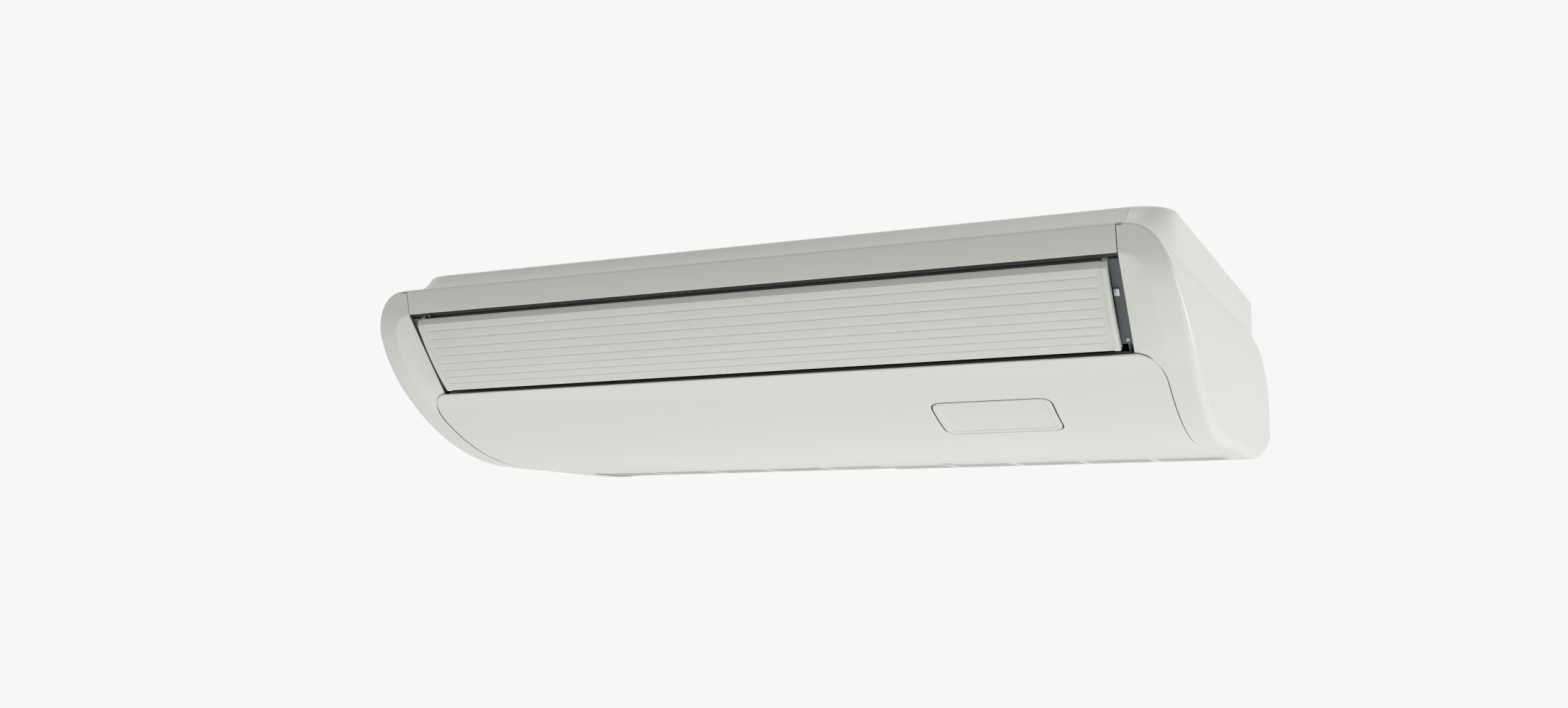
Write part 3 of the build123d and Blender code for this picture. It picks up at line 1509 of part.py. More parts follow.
with BuildPart() as bracket_screws:
    for side in (-1, 1):
        with BuildSketch(Plane.YZ.offset(side * (hanger_x + hanger_thickness + push_fit))):
            with Locations(at(hanger_middle_back, hanger_tab_height - hanger_drop / 2)):
                with GridLocations(slot_spacing, hanger_drop / 2, 2, 2):
                    RegularPolygon(screw_head_radius, 6)
        extrude(amount=side * screw_head_height)
        with BuildSketch(Plane.YZ.offset(side * (hanger_x + hanger_thickness + push_fit))):
            with Locations(at(hanger_middle_back, hanger_tab_height - hanger_drop / 2)):
                with GridLocations(slot_spacing, hanger_drop / 2, 2, 2):
                    Circle(screw_radius)
        extrude(amount=-side * (hanger_thickness + seat))
save(bracket_screws, "bracket_screws")

# Rubber grommet for the cable, in the rear panel
with BuildPart() as cable_grommet:
    with BuildSketch(across(depth - sheet - seat - grommet_flange)):
        with Locations((grommet_x, grommet_height)):
            Circle(grommet_flange_radius)
    extrude(amount=-grommet_flange)
    with BuildSketch(across(depth - sheet - seat)):
        with Locations((grommet_x, grommet_height)):
            Circle(grommet_neck_radius)
    extrude(amount=-(sheet + seat))
    with BuildSketch(across(depth - 2 * grommet_flange_radius)):
        with Locations((grommet_x, grommet_height)):
            Circle(grommet_bore_radius)
    extrude(amount=-3 * grommet_flange_radius, mode=Mode.SUBTRACT)
save(cable_grommet, "cable_grommet")

# Intake grilles: louvred plates that follow the belly, with ribs, hinge arms and pins
rib_body = envelope(grille_rim_height)
grille_front_back = panel_rear_back + seam
grille_inner_x = seam
column_width = (panel_half - grille_inner_x - 2 * grille_rim_width - (louvre_columns - 1) * louvre_bar)
column_width = column_width / louvre_columns


def column_x(number):
    """Middle of one column of louvre slots."""
    return grille_inner_x + grille_rim_width + column_width / 2 + number * (column_width + louvre_bar)


with BuildPart() as grille_ribs:
    add(outer_body)
    add(rib_body, mode=Mode.SUBTRACT)
    grille_middle = ((grille_inner_x + panel_half) / 2, front + (grille_front_back + grille_rear_back) / 2)
    with BuildSketch(Plane.XY):
        with Locations(grille_middle):
            Rectangle(panel_half - grille_inner_x, grille_rear_back - grille_front_back)
            Rectangle(panel_half - grille_inner_x - 2 * grille_rim_width,
                      grille_rear_back - grille_front_back - 2 * grille_rim_width, mode=Mode.SUBTRACT)
        louvre_last_back = louvre_first_back + (louvre_rows - 1) * louvre_pitch
        for number in range(louvre_columns - 1):
            rib_x = column_x(number) + (column_width + louvre_bar) / 2
            with Locations((rib_x, front + (louvre_first_back + louvre_last_back) / 2)):
                Rectangle(grille_rim_width, louvre_last_back - louvre_first_back)
    extrude(amount=cover_height / 2, mode=Mode.INTERSECT)

with BuildPart() as grille_right:
    add(outer_body)
    add(inner_body, mode=Mode.SUBTRACT)
    with BuildSketch(Plane.XY):
        with Locations(grille_middle):
            Rectangle(panel_half - grille_inner_x, grille_rear_back - grille_front_back)
    extrude(amount=cover_height / 2, mode=Mode.INTERSECT)
    with BuildSketch(Plane.XY):
        for number in range(louvre_columns):
            with Locations((column_x(number), front + (louvre_first_back + louvre_last_back) / 2)):
                with GridLocations(1, louvre_pitch, 1, louvre_rows):
                    Rectangle(column_width, louvre_gap)
    extrude(amount=cover_height / 2, mode=Mode.SUBTRACT)
    add(grille_ribs.part)
    with BuildSketch(Plane.XY):
        with Locations((latch_x, front + latch_back + latch_travel / 2)):
            Rectangle(latch_slot_width, latch_knob_length + latch_travel + 2 * seat)
        with Locations((latch_x, front + grille_front_back)):
            Rectangle(latch_slot_width, 4 * grille_rim_width)
        for spot in hinge_positions:
            with Locations((spot, front + grille_rear_back)):
                with GridLocations(2 * ear_reach, 1, 2, 1):
                    Rectangle(hinge_ear_thickness + 2 * seat,
                              2 * (grille_rear_back - hinge_back + hinge_knuckle_radius + seat))
    extrude(amount=cover_height / 2, mode=Mode.SUBTRACT)
    for spot in hinge_positions:
        with BuildSketch(Plane.YZ.offset(spot - hinge_arm_width / 2)):
            with BuildLine():
                arm_front = hinge_back - hinge_knuckle_radius
                arm_rear = hinge_back + hinge_knuckle_radius
                Polyline(
                    at(arm_front, hinge_height),
                    at(arm_front, belly_height(arm_front) + grille_thickness / 2),
                    at(arm_rear, belly_height(arm_rear) + grille_thickness / 2),
                    at(arm_rear, hinge_height),
                    at(arm_front, hinge_height),
                )
            make_face()
            with Locations(at(hinge_back, hinge_height)):
                Circle(hinge_knuckle_radius)
        extrude(amount=hinge_arm_width)
        pin_reach = hinge_arm_width / 2 + seat + hinge_ear_thickness
        with BuildSketch(Plane.YZ.offset(spot)):
            with Locations(at(hinge_back, hinge_height)):
                Circle(hinge_pin_radius)
        extrude(amount=pin_reach, both=True)
save(grille_right, "grille_right")

raised = Location((0, 0, left_grille_recess))
with BuildPart() as grille_left:
    with Locations(raised):
        add(mirror(grille_right.part, about=Plane.YZ, mode=Mode.PRIVATE))
save(grille_left, "grille_left")

# Filters: thin meshed frames that lie on the grille ribs
filter_low = envelope(grille_rim_height + seat)
filter_high = envelope(grille_rim_height + seat + filter_thickness)
filter_inner_x = grille_inner_x + filter_side_gap
filter_outer_x = panel_half - filter_side_gap
filter_width = filter_outer_x - filter_inner_x
filter_length = filter_rear_back - filter_front_back
filter_middle = ((filter_inner_x + filter_outer_x) / 2, front + (filter_front_back + filter_rear_back) / 2)
filter_cell_x = (filter_width - 2 * filter_frame - (filter_columns - 1) * filter_bar) / filter_columns
filter_cell_y = (filter_length - 2 * filter_frame - (filter_rows - 1) * filter_bar) / filter_rows
with BuildPart() as filter_right:
    add(filter_low)
    add(filter_high, mode=Mode.SUBTRACT)
    with BuildSketch(Plane.XY):
        with Locations(filter_middle):
            Rectangle(filter_width, filter_length)
            with GridLocations(filter_cell_x + filter_bar, filter_cell_y + filter_bar,
                               filter_columns, filter_rows):
                Rectangle(filter_cell_x, filter_cell_y, mode=Mode.SUBTRACT)
    extrude(amount=cover_height / 2, mode=Mode.INTERSECT)
save(filter_right, "filter_right")

with BuildPart() as filter_left:
    with Locations(raised):
        add(mirror(filter_right.part, about=Plane.YZ, mode=Mode.PRIVATE))
save(filter_left, "filter_left")

# Latches: small sliders with a tongue that reaches over the panel's notch
with BuildPart() as latch_right:
    with BuildSketch(Plane.XY.offset(grille_thickness + seat)):
        with Locations((latch_x, front + latch_back)):
            Rectangle(latch_width, latch_length)
        tongue_front = panel_rear_back - latch_reach
        with Locations((latch_x, front + (tongue_front + latch_back) / 2)):
            Rectangle(latch_tongue_width, latch_back - tongue_front)
    extrude(amount=latch_thickness)
    with BuildSketch(Plane.XY.offset(grille_thickness + seat)):
        with Locations((latch_x, front + latch_back)):
            Rectangle(latch_slot_width - 2 * seat, latch_knob_length)
    extrude(amount=-grille_thickness)
save(latch_right, "latch_right")

with BuildPart() as latch_left:
    with Locations(raised):
        add(mirror(latch_right.part, about=Plane.YZ, mode=Mode.PRIVATE))
save(latch_left, "latch_left")
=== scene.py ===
# %% [markdown]
# # A ceiling suspended air conditioner, dressed in Blender
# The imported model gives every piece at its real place. This file keeps the pieces that are right as
# they are, gives them real finishes, and makes the visible mouldings again as smooth surfaces.

# %% Load the frame
import json

import bmesh
import bpy
import numpy as np
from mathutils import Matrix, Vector


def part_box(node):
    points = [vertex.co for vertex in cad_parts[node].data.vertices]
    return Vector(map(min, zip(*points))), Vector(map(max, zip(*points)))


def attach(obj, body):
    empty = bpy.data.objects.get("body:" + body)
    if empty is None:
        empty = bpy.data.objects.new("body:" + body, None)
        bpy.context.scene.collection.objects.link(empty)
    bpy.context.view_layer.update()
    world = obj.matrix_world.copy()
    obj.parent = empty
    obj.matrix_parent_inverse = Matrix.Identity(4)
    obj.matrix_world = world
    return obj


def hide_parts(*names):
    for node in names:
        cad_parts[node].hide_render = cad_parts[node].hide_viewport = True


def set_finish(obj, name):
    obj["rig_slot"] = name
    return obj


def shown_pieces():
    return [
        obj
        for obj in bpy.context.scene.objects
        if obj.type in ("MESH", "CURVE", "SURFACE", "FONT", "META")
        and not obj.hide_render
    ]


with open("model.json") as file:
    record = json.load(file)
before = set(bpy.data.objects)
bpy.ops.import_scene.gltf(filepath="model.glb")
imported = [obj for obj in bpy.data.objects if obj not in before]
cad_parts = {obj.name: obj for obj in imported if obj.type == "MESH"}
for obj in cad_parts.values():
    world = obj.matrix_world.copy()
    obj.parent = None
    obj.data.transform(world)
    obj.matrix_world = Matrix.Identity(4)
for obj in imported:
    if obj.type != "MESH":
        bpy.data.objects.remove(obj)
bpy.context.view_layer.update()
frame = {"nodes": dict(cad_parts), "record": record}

# %% [markdown]
# All lengths below are millimetres, as on a drawing, and become metres in one place. A distance
# behind the frontmost line of the body is called back. The rear of the rear panel fixes that line.

# %% Front line of the body
body_depth = 695.0
front_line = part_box("rear_panel")[1].y * 1000.0 - body_depth
half_width = 495.0
print("front line", round(front_line, 3))

# %% [markdown]
# A moulded shell is a grid of points. Its rows and columns follow the two parameters of the surface,
# so numpy can work out all points at once, and the faces are the cells of the grid.

# %% Points and grids
def stacked(*parts):
    """Arrays spread over each other and stacked: across, back and up give points in space."""
    return np.stack(np.broadcast_arrays(*parts), axis=-1)


def metres(points, side=1.0):
    """Points in millimetres to metres in the frame, on one side: (side x, front line + back, up) / 1000."""
    return (points * [side, 1.0, 1.0] + [0.0, front_line, 0.0]) / 1000.0


def middles(places):
    """The middle between each two neighbours in a row of places."""
    return (places[1:] + places[:-1]) / 2.0


def in_scene(name, data):
    """A new object with its data, linked to the scene."""
    made = bpy.data.objects.new(name, data)
    bpy.context.scene.collection.objects.link(made)
    return made


def grid_faces(rows, columns, flip=False):
    """Corner numbers of every cell of a grid: each cell joins four neighbouring points."""
    first = (np.arange(rows - 1)[:, None] * columns + np.arange(columns - 1)[None, :]).ravel()
    cells = np.stack([first, first + 1, first + columns + 1, first + columns], axis=1)
    return cells[:, ::-1] if flip else cells


print("a grid of 3 by 3 points has", len(grid_faces(3, 3)), "faces")

# %% [markdown]
# A piece is one or more grids and flat faces joined into one mesh. A shell gets its wall thickness from a
# modifier. Each piece says which body it rides on, which nodes it stands for and which slot it takes.

# %% Pieces from grids
def make_piece(name, patches, body, replaced=(), slot=None, thickness=0.0, sharp=32.0, fills=()):
    """Join grids of points into one smooth mesh: doubles merged, a wall added, and sharp edges kept.

    A patch is its points, whether its faces turn over, and which of its cells are left out, if any.
    A fill is a closed line of points that bounds one flat face."""
    points, faces, start = [], [], 0
    for grid, flip, *left_out in patches:
        rows, columns = grid.shape[:2]
        cells = grid_faces(rows, columns, flip)
        if left_out:
            cells = cells[~left_out[0].ravel()]
        points.append(grid.reshape(-1, 3))
        faces.extend((cells + start).tolist())
        start += rows * columns
    for line, flip in fills:
        corners = start + np.arange(len(line))
        points.append(line)
        faces.append((corners[::-1] if flip else corners).tolist())
        start += len(line)
    mesh = bpy.data.meshes.new(name)
    mesh.from_pydata(np.concatenate(points).tolist(), [], faces)
    piece = in_scene(name, mesh)
    finish_mesh(piece, thickness, sharp)
    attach(piece, body)
    if replaced:
        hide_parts(*replaced)
    if slot:
        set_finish(piece, slot)
    print(name, len(piece.data.polygons), "faces")
    return piece


body_middle = Vector((0.0, 0.0, 0.11))


def finish_mesh(piece, thickness=0.0, sharp=32.0):
    """Merge doubles, turn all faces away from the middle of the unit, add a wall inwards, shade by angle."""
    work = bmesh.new()
    work.from_mesh(piece.data)
    bmesh.ops.remove_doubles(work, verts=work.verts, dist=2e-6)
    bmesh.ops.dissolve_degenerate(work, edges=work.edges, dist=2e-6)
    bmesh.ops.recalc_face_normals(work, faces=work.faces)
    outward = sum(f.calc_area() * f.normal.dot(f.calc_center_median() - body_middle) for f in work.faces)
    if outward < 0.0 and thickness:
        bmesh.ops.reverse_faces(work, faces=work.faces)
    work.to_mesh(piece.data)
    work.free()
    if thickness:
        wall = piece.modifiers.new("wall", "SOLIDIFY")
        wall.thickness = thickness / 1000.0
        wall.offset = -1.0
        apply_modifiers(piece)
    piece.data.shade_smooth()
    piece.data.set_sharp_from_angle(angle=np.radians(sharp))


def apply_modifiers(piece):
    """Replace the piece's mesh by what its modifiers make of it."""
    bpy.context.view_layer.update()
    result = piece.evaluated_get(bpy.context.evaluated_depsgraph_get())
    mesh = bpy.data.meshes.new_from_object(result)
    piece.modifiers.clear()
    piece.data = mesh


def closed_piece(name, rings, side, body="casing", replaced=(), slot="dark_abs"):
    """A closed body from rings of points, the first point repeated in each, with a flat face at each end."""
    return make_piece(name, [(metres(rings, side), False)], body, replaced, slot,
                      fills=[(metres(rings[0, :-1], side), False), (metres(rings[-1, :-1], side), True)])


sides = ((1.0, "right"), (-1.0, "left"))
print("pieces can be made on", [name for _, name in sides])

# %% [markdown]
# The side view of the body is one smooth line: a flat belly, a large nose arc, a tighter brow arc and
# the leaning face of the trim strip. Everything at the front follows it, so it is a function first.

# %% Side profile
nose_radius, belly_front, rise_start, rise_radius = 334.0, 294.4, 540.0, 465.0
cover_top = 199.3
brow_height, strip_foot, strip_head = 136.5, np.array([8.5, 170.4]), np.array([2.0, cover_top])
rise_count, nose_count, brow_count, face_count = 40, 160, 30, 20


def arc_about(centre, radius, start, stop, count):
    """Points and outward normals along an arc, from one angle to another in degrees."""
    turn = np.radians(np.linspace(start, stop, count))
    normal = stacked(np.cos(turn), np.sin(turn))
    return np.asarray(centre) + radius * normal, normal


def swing(start, stop, angle, share):
    """Vectors turned evenly from start to stop: (sin((1 - s) a) start + sin(s a) stop) / sin a."""
    mixture = np.sin((1 - share) * angle) * start + np.sin(share * angle) * stop
    return mixture / np.maximum(np.sin(angle), 1e-6)


def side_profile():
    """The side view from the rear of the belly to the top of the strip: points and outward normals."""
    rise_end = -90.0 + np.degrees(np.arcsin((body_depth - rise_start) / rise_radius))
    rise, rise_normal = arc_about((rise_start, rise_radius), rise_radius, rise_end, -90.0, rise_count)
    nose_end = -90.0 - np.degrees(np.arccos((nose_radius - brow_height) / nose_radius))
    nose, nose_normal = arc_about((belly_front, nose_radius), nose_radius, -90.0, nose_end, nose_count)
    step = strip_foot - nose[-1]
    brow_radius = step @ step / (-2.0 * step @ nose_normal[-1])
    brow_centre = nose[-1] - brow_radius * nose_normal[-1]
    towards = strip_foot - brow_centre
    brow_end = np.degrees(np.arctan2(towards[1], towards[0])) % 360.0 - 360.0
    brow, brow_normal = arc_about(brow_centre, brow_radius, nose_end, brow_end, brow_count)
    face_line = strip_foot + np.linspace(0, 1, face_count)[:, None] * (strip_head - strip_foot)
    lean = (strip_head - strip_foot) / np.linalg.norm(strip_head - strip_foot)
    face_normal = np.tile([-lean[1], lean[0]], (face_count, 1))
    points = np.concatenate([rise, nose, brow[1:], face_line[1:]])
    normals = np.concatenate([rise_normal, nose_normal, brow_normal[1:], face_normal[1:]])
    return points, normals, brow_radius


profile, profile_normal, brow_radius = side_profile()
front_part = profile[:, 0] <= belly_front
front_height, front_back = profile[front_part][:, 1], profile[front_part][:, 0]
front_normal = profile_normal[front_part]


def nose_back(up):
    """How far behind the front line the nose, brow or strip lies at a height."""
    low = np.clip(up, 0.0, brow_height)
    arc = belly_front - np.sqrt(np.maximum(2.0 * nose_radius * low - low ** 2, 0.0))
    return np.where(up <= brow_height, arc, np.interp(up, front_height, front_back))


def nose_normal(up):
    """Outward normal in the side view at a height of the nose, brow or strip."""
    lift = -(nose_radius - np.clip(up, 0.0, brow_height)) / nose_radius
    lift = np.where(up <= brow_height, lift, np.interp(up, front_height, front_normal[:, 1]))
    return -np.sqrt(np.maximum(1.0 - lift ** 2, 0.0)), lift


print("profile points", len(profile), "brow radius", round(float(brow_radius), 1))

# %% [markdown]
# The front view of each side cover: a rounded shoulder, a slightly barrelled side, then straight down.
# As the nose passes into the side, the edge is rolled over with a radius that grows downwards.

# %% Front outline of the side covers
shoulder_start, shoulder_end = np.array([440.0, cover_top]), np.array([475.0, 179.5])
barrel, side_foot = np.array([486.65, 151.0]), np.array([half_width, 80.0])


def tangent_arc(start, tangent, end, count):
    """Points and normals of the arc that leaves start along tangent and ends at end."""
    step = end - start
    normal = np.array([-tangent[1], tangent[0]])
    radius = step @ step / (2.0 * step @ normal)
    centre = start + radius * normal
    first = np.arctan2(*(start - centre)[::-1])
    last = np.arctan2(*(end - centre)[::-1])
    turn = last - first
    turn = (turn + np.pi) % (2.0 * np.pi) - np.pi
    angle = first + np.linspace(0, 1, count) * turn
    outward = stacked(np.cos(angle), np.sin(angle))
    return centre + abs(radius) * outward, outward


shoulder, shoulder_normal = tangent_arc(shoulder_start, np.array([1.0, 0.0]), shoulder_end, 40)
leaving = np.array([shoulder_normal[-1][1], -shoulder_normal[-1][0]])
upper_side, upper_normal = tangent_arc(shoulder_end, leaving, barrel, 16)
lower_side, lower_normal = tangent_arc(side_foot, np.array([0.0, 1.0]), barrel, 24)
outline = np.concatenate([shoulder, upper_side[1:], lower_side[::-1][1:], [[half_width, 0.0]]])
outline_normal = np.concatenate([shoulder_normal, upper_normal[1:], lower_normal[::-1][1:], [[1.0, 0.0]]])
print("outline from", outline[0], "to", outline[-1])

# %% [markdown]
# A ball rolls along the corner between the nose and the side. Its centre lies one radius inside both,
# and the edge is the part of the ball between the two places where it touches them. Its size and place
# depend on each other, so each is worked out again from the last value until both have settled.

# %% The rolled edge of a side cover
corner_roll = 12.0
roll_heights = np.array([0.0, 12.0, 40.0, 90.0, 140.0, 165.0, 180.0, 195.0, 200.0])
roll_sizes = np.array([12.0, 11.5, 9.5, 7.5, 6.0, 4.6, 3.4, 2.3, 2.2])
inset_rounds, size_rounds, foot_rounds = 30, 12, 40


def roll_size(up):
    """Radius of the rolled edge at a height of the ball's centre."""
    return np.interp(up, roll_heights, roll_sizes)


def settled_size(up, normal_up):
    """Radius of the ball that touches a surface at a height: the size at its own centre's height."""
    size = roll_size(up)
    for _ in range(size_rounds):
        size = roll_size(up - size * normal_up)
    return size


def inner_outline(up, inset):
    """Across place, and normal, of the outline moved inwards by an inset, at a height."""
    foot = np.array(up, float)
    for _ in range(inset_rounds):
        lift = np.interp(foot, outline[::-1, 1], outline_normal[::-1, 1])
        foot = 0.5 * foot + 0.5 * np.clip(up + inset * lift, 0.0, cover_top)
    lift = np.interp(foot, outline[::-1, 1], outline_normal[::-1, 1])
    aside = np.sqrt(1.0 - lift ** 2)
    return np.interp(foot, outline[::-1, 1], outline[::-1, 0]) - inset * aside, aside, lift


def roll_stations():
    """Ball centres along the corner, with the normals of the nose and of the side at each of them."""
    rear = profile_normal[:rise_count], profile[:rise_count]
    rear_centre = rear[1] - corner_roll * rear[0]
    low = np.concatenate([np.linspace(0.0, 12.0, 25)[1:], np.linspace(13.0, 150.0, 60)])
    normal_back, normal_up = nose_normal(low)
    size = settled_size(low, normal_up)
    low_centre = stacked(nose_back(low) - size * normal_back, low - size * normal_up)
    aside, side_across, side_up = inner_outline(low_centre[:, 1], size)
    high_from = np.argmax(outline[::-1, 1] > low_centre[-1, 1] + 2.0)
    chain = outline[::-1][high_from:]
    chain_normal = outline_normal[::-1][high_from:]
    high_size = settled_size(chain[:, 1], chain_normal[:, 1])
    centre_up = chain[:, 1] - high_size * chain_normal[:, 1]
    foot = centre_up.copy()
    for _ in range(foot_rounds):
        foot = centre_up + high_size * nose_normal(foot)[1]
    high_nose_back, lift = nose_normal(foot)
    high_back = nose_back(foot) - high_size * high_nose_back
    high_across = chain[:, 0] - high_size * chain_normal[:, 0]
    centres = np.concatenate([stacked(half_width - corner_roll, *rear_centre.T), stacked(aside, *low_centre.T),
                              stacked(high_across, high_back, centre_up)])
    front_normals = np.concatenate([rear[0], stacked(normal_back, normal_up), stacked(high_nose_back, lift)])
    side_normals = np.concatenate([np.tile([1.0, 0.0], (rise_count, 1)), stacked(side_across, side_up),
                                   chain_normal])
    sizes = np.concatenate([np.full(rise_count, corner_roll), size, high_size])
    return centres, front_normals, side_normals, sizes


ball, ball_front, ball_side, ball_size = roll_stations()
towards_nose, towards_side = stacked(0.0, *ball_front.T), stacked(ball_side[:, 0], 0.0, ball_side[:, 1])
print("roll stations", len(ball))


def roll_patch(steps):
    """The rolled edge: from each ball's touch on the nose round to its touch on the side."""
    angle = np.arccos(np.clip((towards_nose * towards_side).sum(1), -1.0, 1.0))[:, None, None]
    share = np.linspace(0, 1, steps)[None, :, None]
    normal = swing(towards_nose[:, None, :], towards_side[:, None, :], angle, share)
    return ball[:, None, :] + ball_size[:, None, None] * normal


# %% [markdown]
# The outlet is bounded by the covers. Beside it each cover is scooped out from the nose towards the
# straight line of the flap, so that the air leaves over a slope, and the scoop fades out further down.

# %% The scoop beside the outlet
outlet_half, outlet_foot = 433.0, np.array([82.8, 78.6])
scoop_edge_up = np.array([40.0, 52.0, 64.0, 73.0, 93.0, 124.0, 140.0, 155.0, 165.0, 170.4, 199.3])
scoop_edge_across = np.array([461.0, 463.0, 464.5, 465.0, 465.4, 464.0, 461.6, 458.5, 451.0, 434.0, 434.0])
scoop_foot, scoop_spare = 42.0, 3.0


def chord_back(up):
    """Back distance of the straight line from the strip's foot to the outlet's foot."""
    share = (up - outlet_foot[1]) / (strip_foot[1] - outlet_foot[1])
    return outlet_foot[0] + share * (strip_foot[0] - outlet_foot[0])


def scoop_depth(across, up):
    """How far the cover lies behind the nose: a ramp from its edge to the flap's line."""
    edge = np.interp(up, scoop_edge_up, scoop_edge_across)
    ramp = np.clip((edge - across) / np.maximum(edge - outlet_half, 1.0), 0.0, 1.15)
    beside = np.maximum(up, outlet_foot[1])
    depth = np.maximum(chord_back(beside) - nose_back(beside), 0.0)
    fade = np.clip((up - scoop_foot) / (outlet_foot[1] - scoop_foot), 0.0, 1.0)
    fade = fade * fade * (3.0 - 2.0 * fade)
    low_depth = chord_back(outlet_foot[1]) - nose_back(outlet_foot[1]) + scoop_spare
    depth = np.where(up < outlet_foot[1], low_depth * fade, depth)
    return ramp * depth


print("scoop depth in the middle", round(float(scoop_depth(433.0, 124.0)), 1))

# %% [markdown]
# Each side cover is one moulding with a wall of 2.5 mm: the front and belly as rows across, the rolled
# edge, the side as a sheet to the rear, and a small round that turns into the rear wall.

# %% Sheets of a side cover
panel_half, panel_corner, seam = 461.0, 28.0, 0.9


def cover_inner_edge(up):
    """Where the cover begins next to the panel, the outlet and the strip."""
    corner_low = outlet_foot[1] - panel_corner
    rise = np.clip((up - corner_low) / panel_corner, 0.0, 1.0)
    beside_panel = outlet_half + panel_corner * np.sqrt(1.0 - rise ** 2)
    return np.where(up >= outlet_foot[1], outlet_half, beside_panel) + seam


def front_patch(columns):
    """The front and belly of the cover: rows from the inner edge to the rolled edge."""
    foot = ball[:, 1:] + ball_size[:, None] * ball_front
    inner = cover_inner_edge(foot[:, 1])
    share = np.linspace(0, 1, columns)[None, :]
    across = inner[:, None] + share * (ball[:, 0] - inner)[:, None]
    return stacked(across, foot[:, :1] + scoop_depth(across, foot[:, 1:]), foot[:, 1:])


rear_turn, cover_wall = 4.0, 2.5


def side_patch(columns):
    """The side of the cover, from the rolled edge to the rear corner: across follows the outline.

    Rows that start on the flat part below 80 mm end spread over the rear edge, the others run level."""
    touch = ball + ball_size[:, None] * towards_side
    step = np.hypot(np.diff(touch[:, 1]), np.diff(touch[:, 2]))
    walked = np.concatenate([[0.0], np.cumsum(step)])
    last_low = np.argmax((touch[:, 2] > side_foot[1]) & (np.arange(len(touch)) > rise_count))
    spread = touch[0, 2] + (side_foot[1] - touch[0, 2]) * walked / walked[last_low - 1]
    rear_up = np.where(np.arange(len(touch)) < last_low, spread, touch[:, 2])[:, None]
    share = np.linspace(0, 1, columns)[None, :]
    back = touch[:, 1:2] + share * (body_depth - rear_turn - touch[:, 1:2])
    return stacked(touch[:, :1], back, touch[:, 2:] + share * (rear_up - touch[:, 2:]))


def rear_corner(edge, normal, count=6):
    """The rounded rear edge: from a line of points a quarter circle inwards to the rear plane."""
    turn = np.linspace(0.0, np.pi / 2.0, count)[None, :]
    inwards = rear_turn * (1.0 - np.cos(turn))
    back = edge[:, 1:2] + (body_depth - edge[:, 1:2]) * np.sin(turn)
    return stacked(edge[:, :1] - inwards * normal[:, :1], back, edge[:, 2:] - inwards * normal[:, 1:])


front_columns, roll_columns, side_columns = 34, 13, 30
front_sheet, rolled_sheet = front_patch(front_columns), roll_patch(roll_columns)
side_sheet = side_patch(side_columns)
for sheet_rows in (front_sheet, rolled_sheet, side_sheet):
    sheet_rows[0, :, 1] = body_depth - rear_turn
rear_edge = np.concatenate([front_sheet[0], rolled_sheet[0][1:], side_sheet[1:, -1]])
roll_share = np.linspace(0.0, np.pi / 2.0, roll_columns)[1:]
rear_normal = np.concatenate([np.tile([0.0, -1.0], (front_columns, 1)),
                              stacked(np.sin(roll_share), -np.cos(roll_share)), ball_side[1:]])
rear_sheet = rear_corner(rear_edge, rear_normal)
cover_patches = [front_sheet, rolled_sheet, side_sheet, rear_sheet]
print("cover sheets", [sheet_rows.shape[:2] for sheet_rows in cover_patches])

# %% [markdown]
# The rear wall is flat. In the left one a notch lets the pipes out: there the wall is one face outside
# the notch and one inside it, which meet above and below its rim. Otherwise the left cover is the mirror
# image of the right one.

# %% Side covers
rear_line = rear_sheet[:, -1]
inner_line = np.array([[433.7, body_depth, cover_top], [433.7, body_depth, 32.0], [461.7, body_depth, 32.0]])
notch_centre, notch_half, notch_corner = np.array([463.5, 94.0]), np.array([18.5, 60.0]), 10.0
notch_steps, rear_middle = 8, 60.0


def rounded_rectangle(centre, half, radius, count):
    """A closed line: four quarter circles of one radius, joined by the straight sides."""
    turn = np.radians(np.concatenate([np.linspace(k * 90.0, k * 90.0 + 90.0, count) for k in range(4)]))
    corner = np.repeat([[1, 1], [-1, 1], [-1, -1], [1, -1]], count, axis=0) * (half - radius)
    return centre + corner + radius * stacked(np.cos(turn), np.sin(turn))


def rear_fills():
    """The rear wall: one face on the right, two on the left, that share the rim of the pipe notch."""
    whole = np.concatenate([rear_line, inner_line])
    notch = rounded_rectangle(notch_centre, notch_half, notch_corner, notch_steps)
    aside = np.abs(rear_line[:, 0] - notch_centre[0])
    low_cut = np.argmin(np.where(rear_line[:, 2] > rear_middle, np.inf, aside))
    high_cut = np.argmin(np.where(rear_line[:, 2] < rear_middle, np.inf, aside))
    rim = stacked(notch[:, 0], body_depth, notch[:, 1])
    head_start, foot_start = notch_steps, 3 * notch_steps
    outer_rim = np.concatenate([rim[foot_start:], rim[:head_start]])[::-1]
    inner_rim = rim[head_start:foot_start]
    foot, head = [rim[k - 1:k + 1].mean(axis=0)[None, :] for k in (foot_start, head_start)]
    outer = np.concatenate([rear_line[low_cut:high_cut + 1], head, outer_rim, foot])
    inner = np.concatenate([rear_line[high_cut:], inner_line, rear_line[:low_cut + 1], foot,
                            inner_rim[::-1], head])
    return whole, outer, inner


whole_rear, outer_rear, inner_rear = rear_fills()
for side, name in sides:
    walls = [whole_rear] if side > 0 else [outer_rear, inner_rear]
    make_piece(f"cover_shell_{name}", [(metres(patch, side), side > 0) for patch in cover_patches],
               "casing", (f"side_cover_{name}",), "white_abs", thickness=cover_wall,
               fills=[(metres(wall, side), side > 0) for wall in walls])

# %% [markdown]
# The front panel is one moulding that wraps from the belly up the nose to the outlet. Its upper corners
# are rounded in the front view. Lines along it are measured as a run from where the flat belly ends.

# %% Panel on the nose
panel_top, panel_rear = 78.6, 470.0
run_top = nose_radius * np.arccos(1.0 - panel_top / nose_radius)
run_rear = belly_front - panel_rear


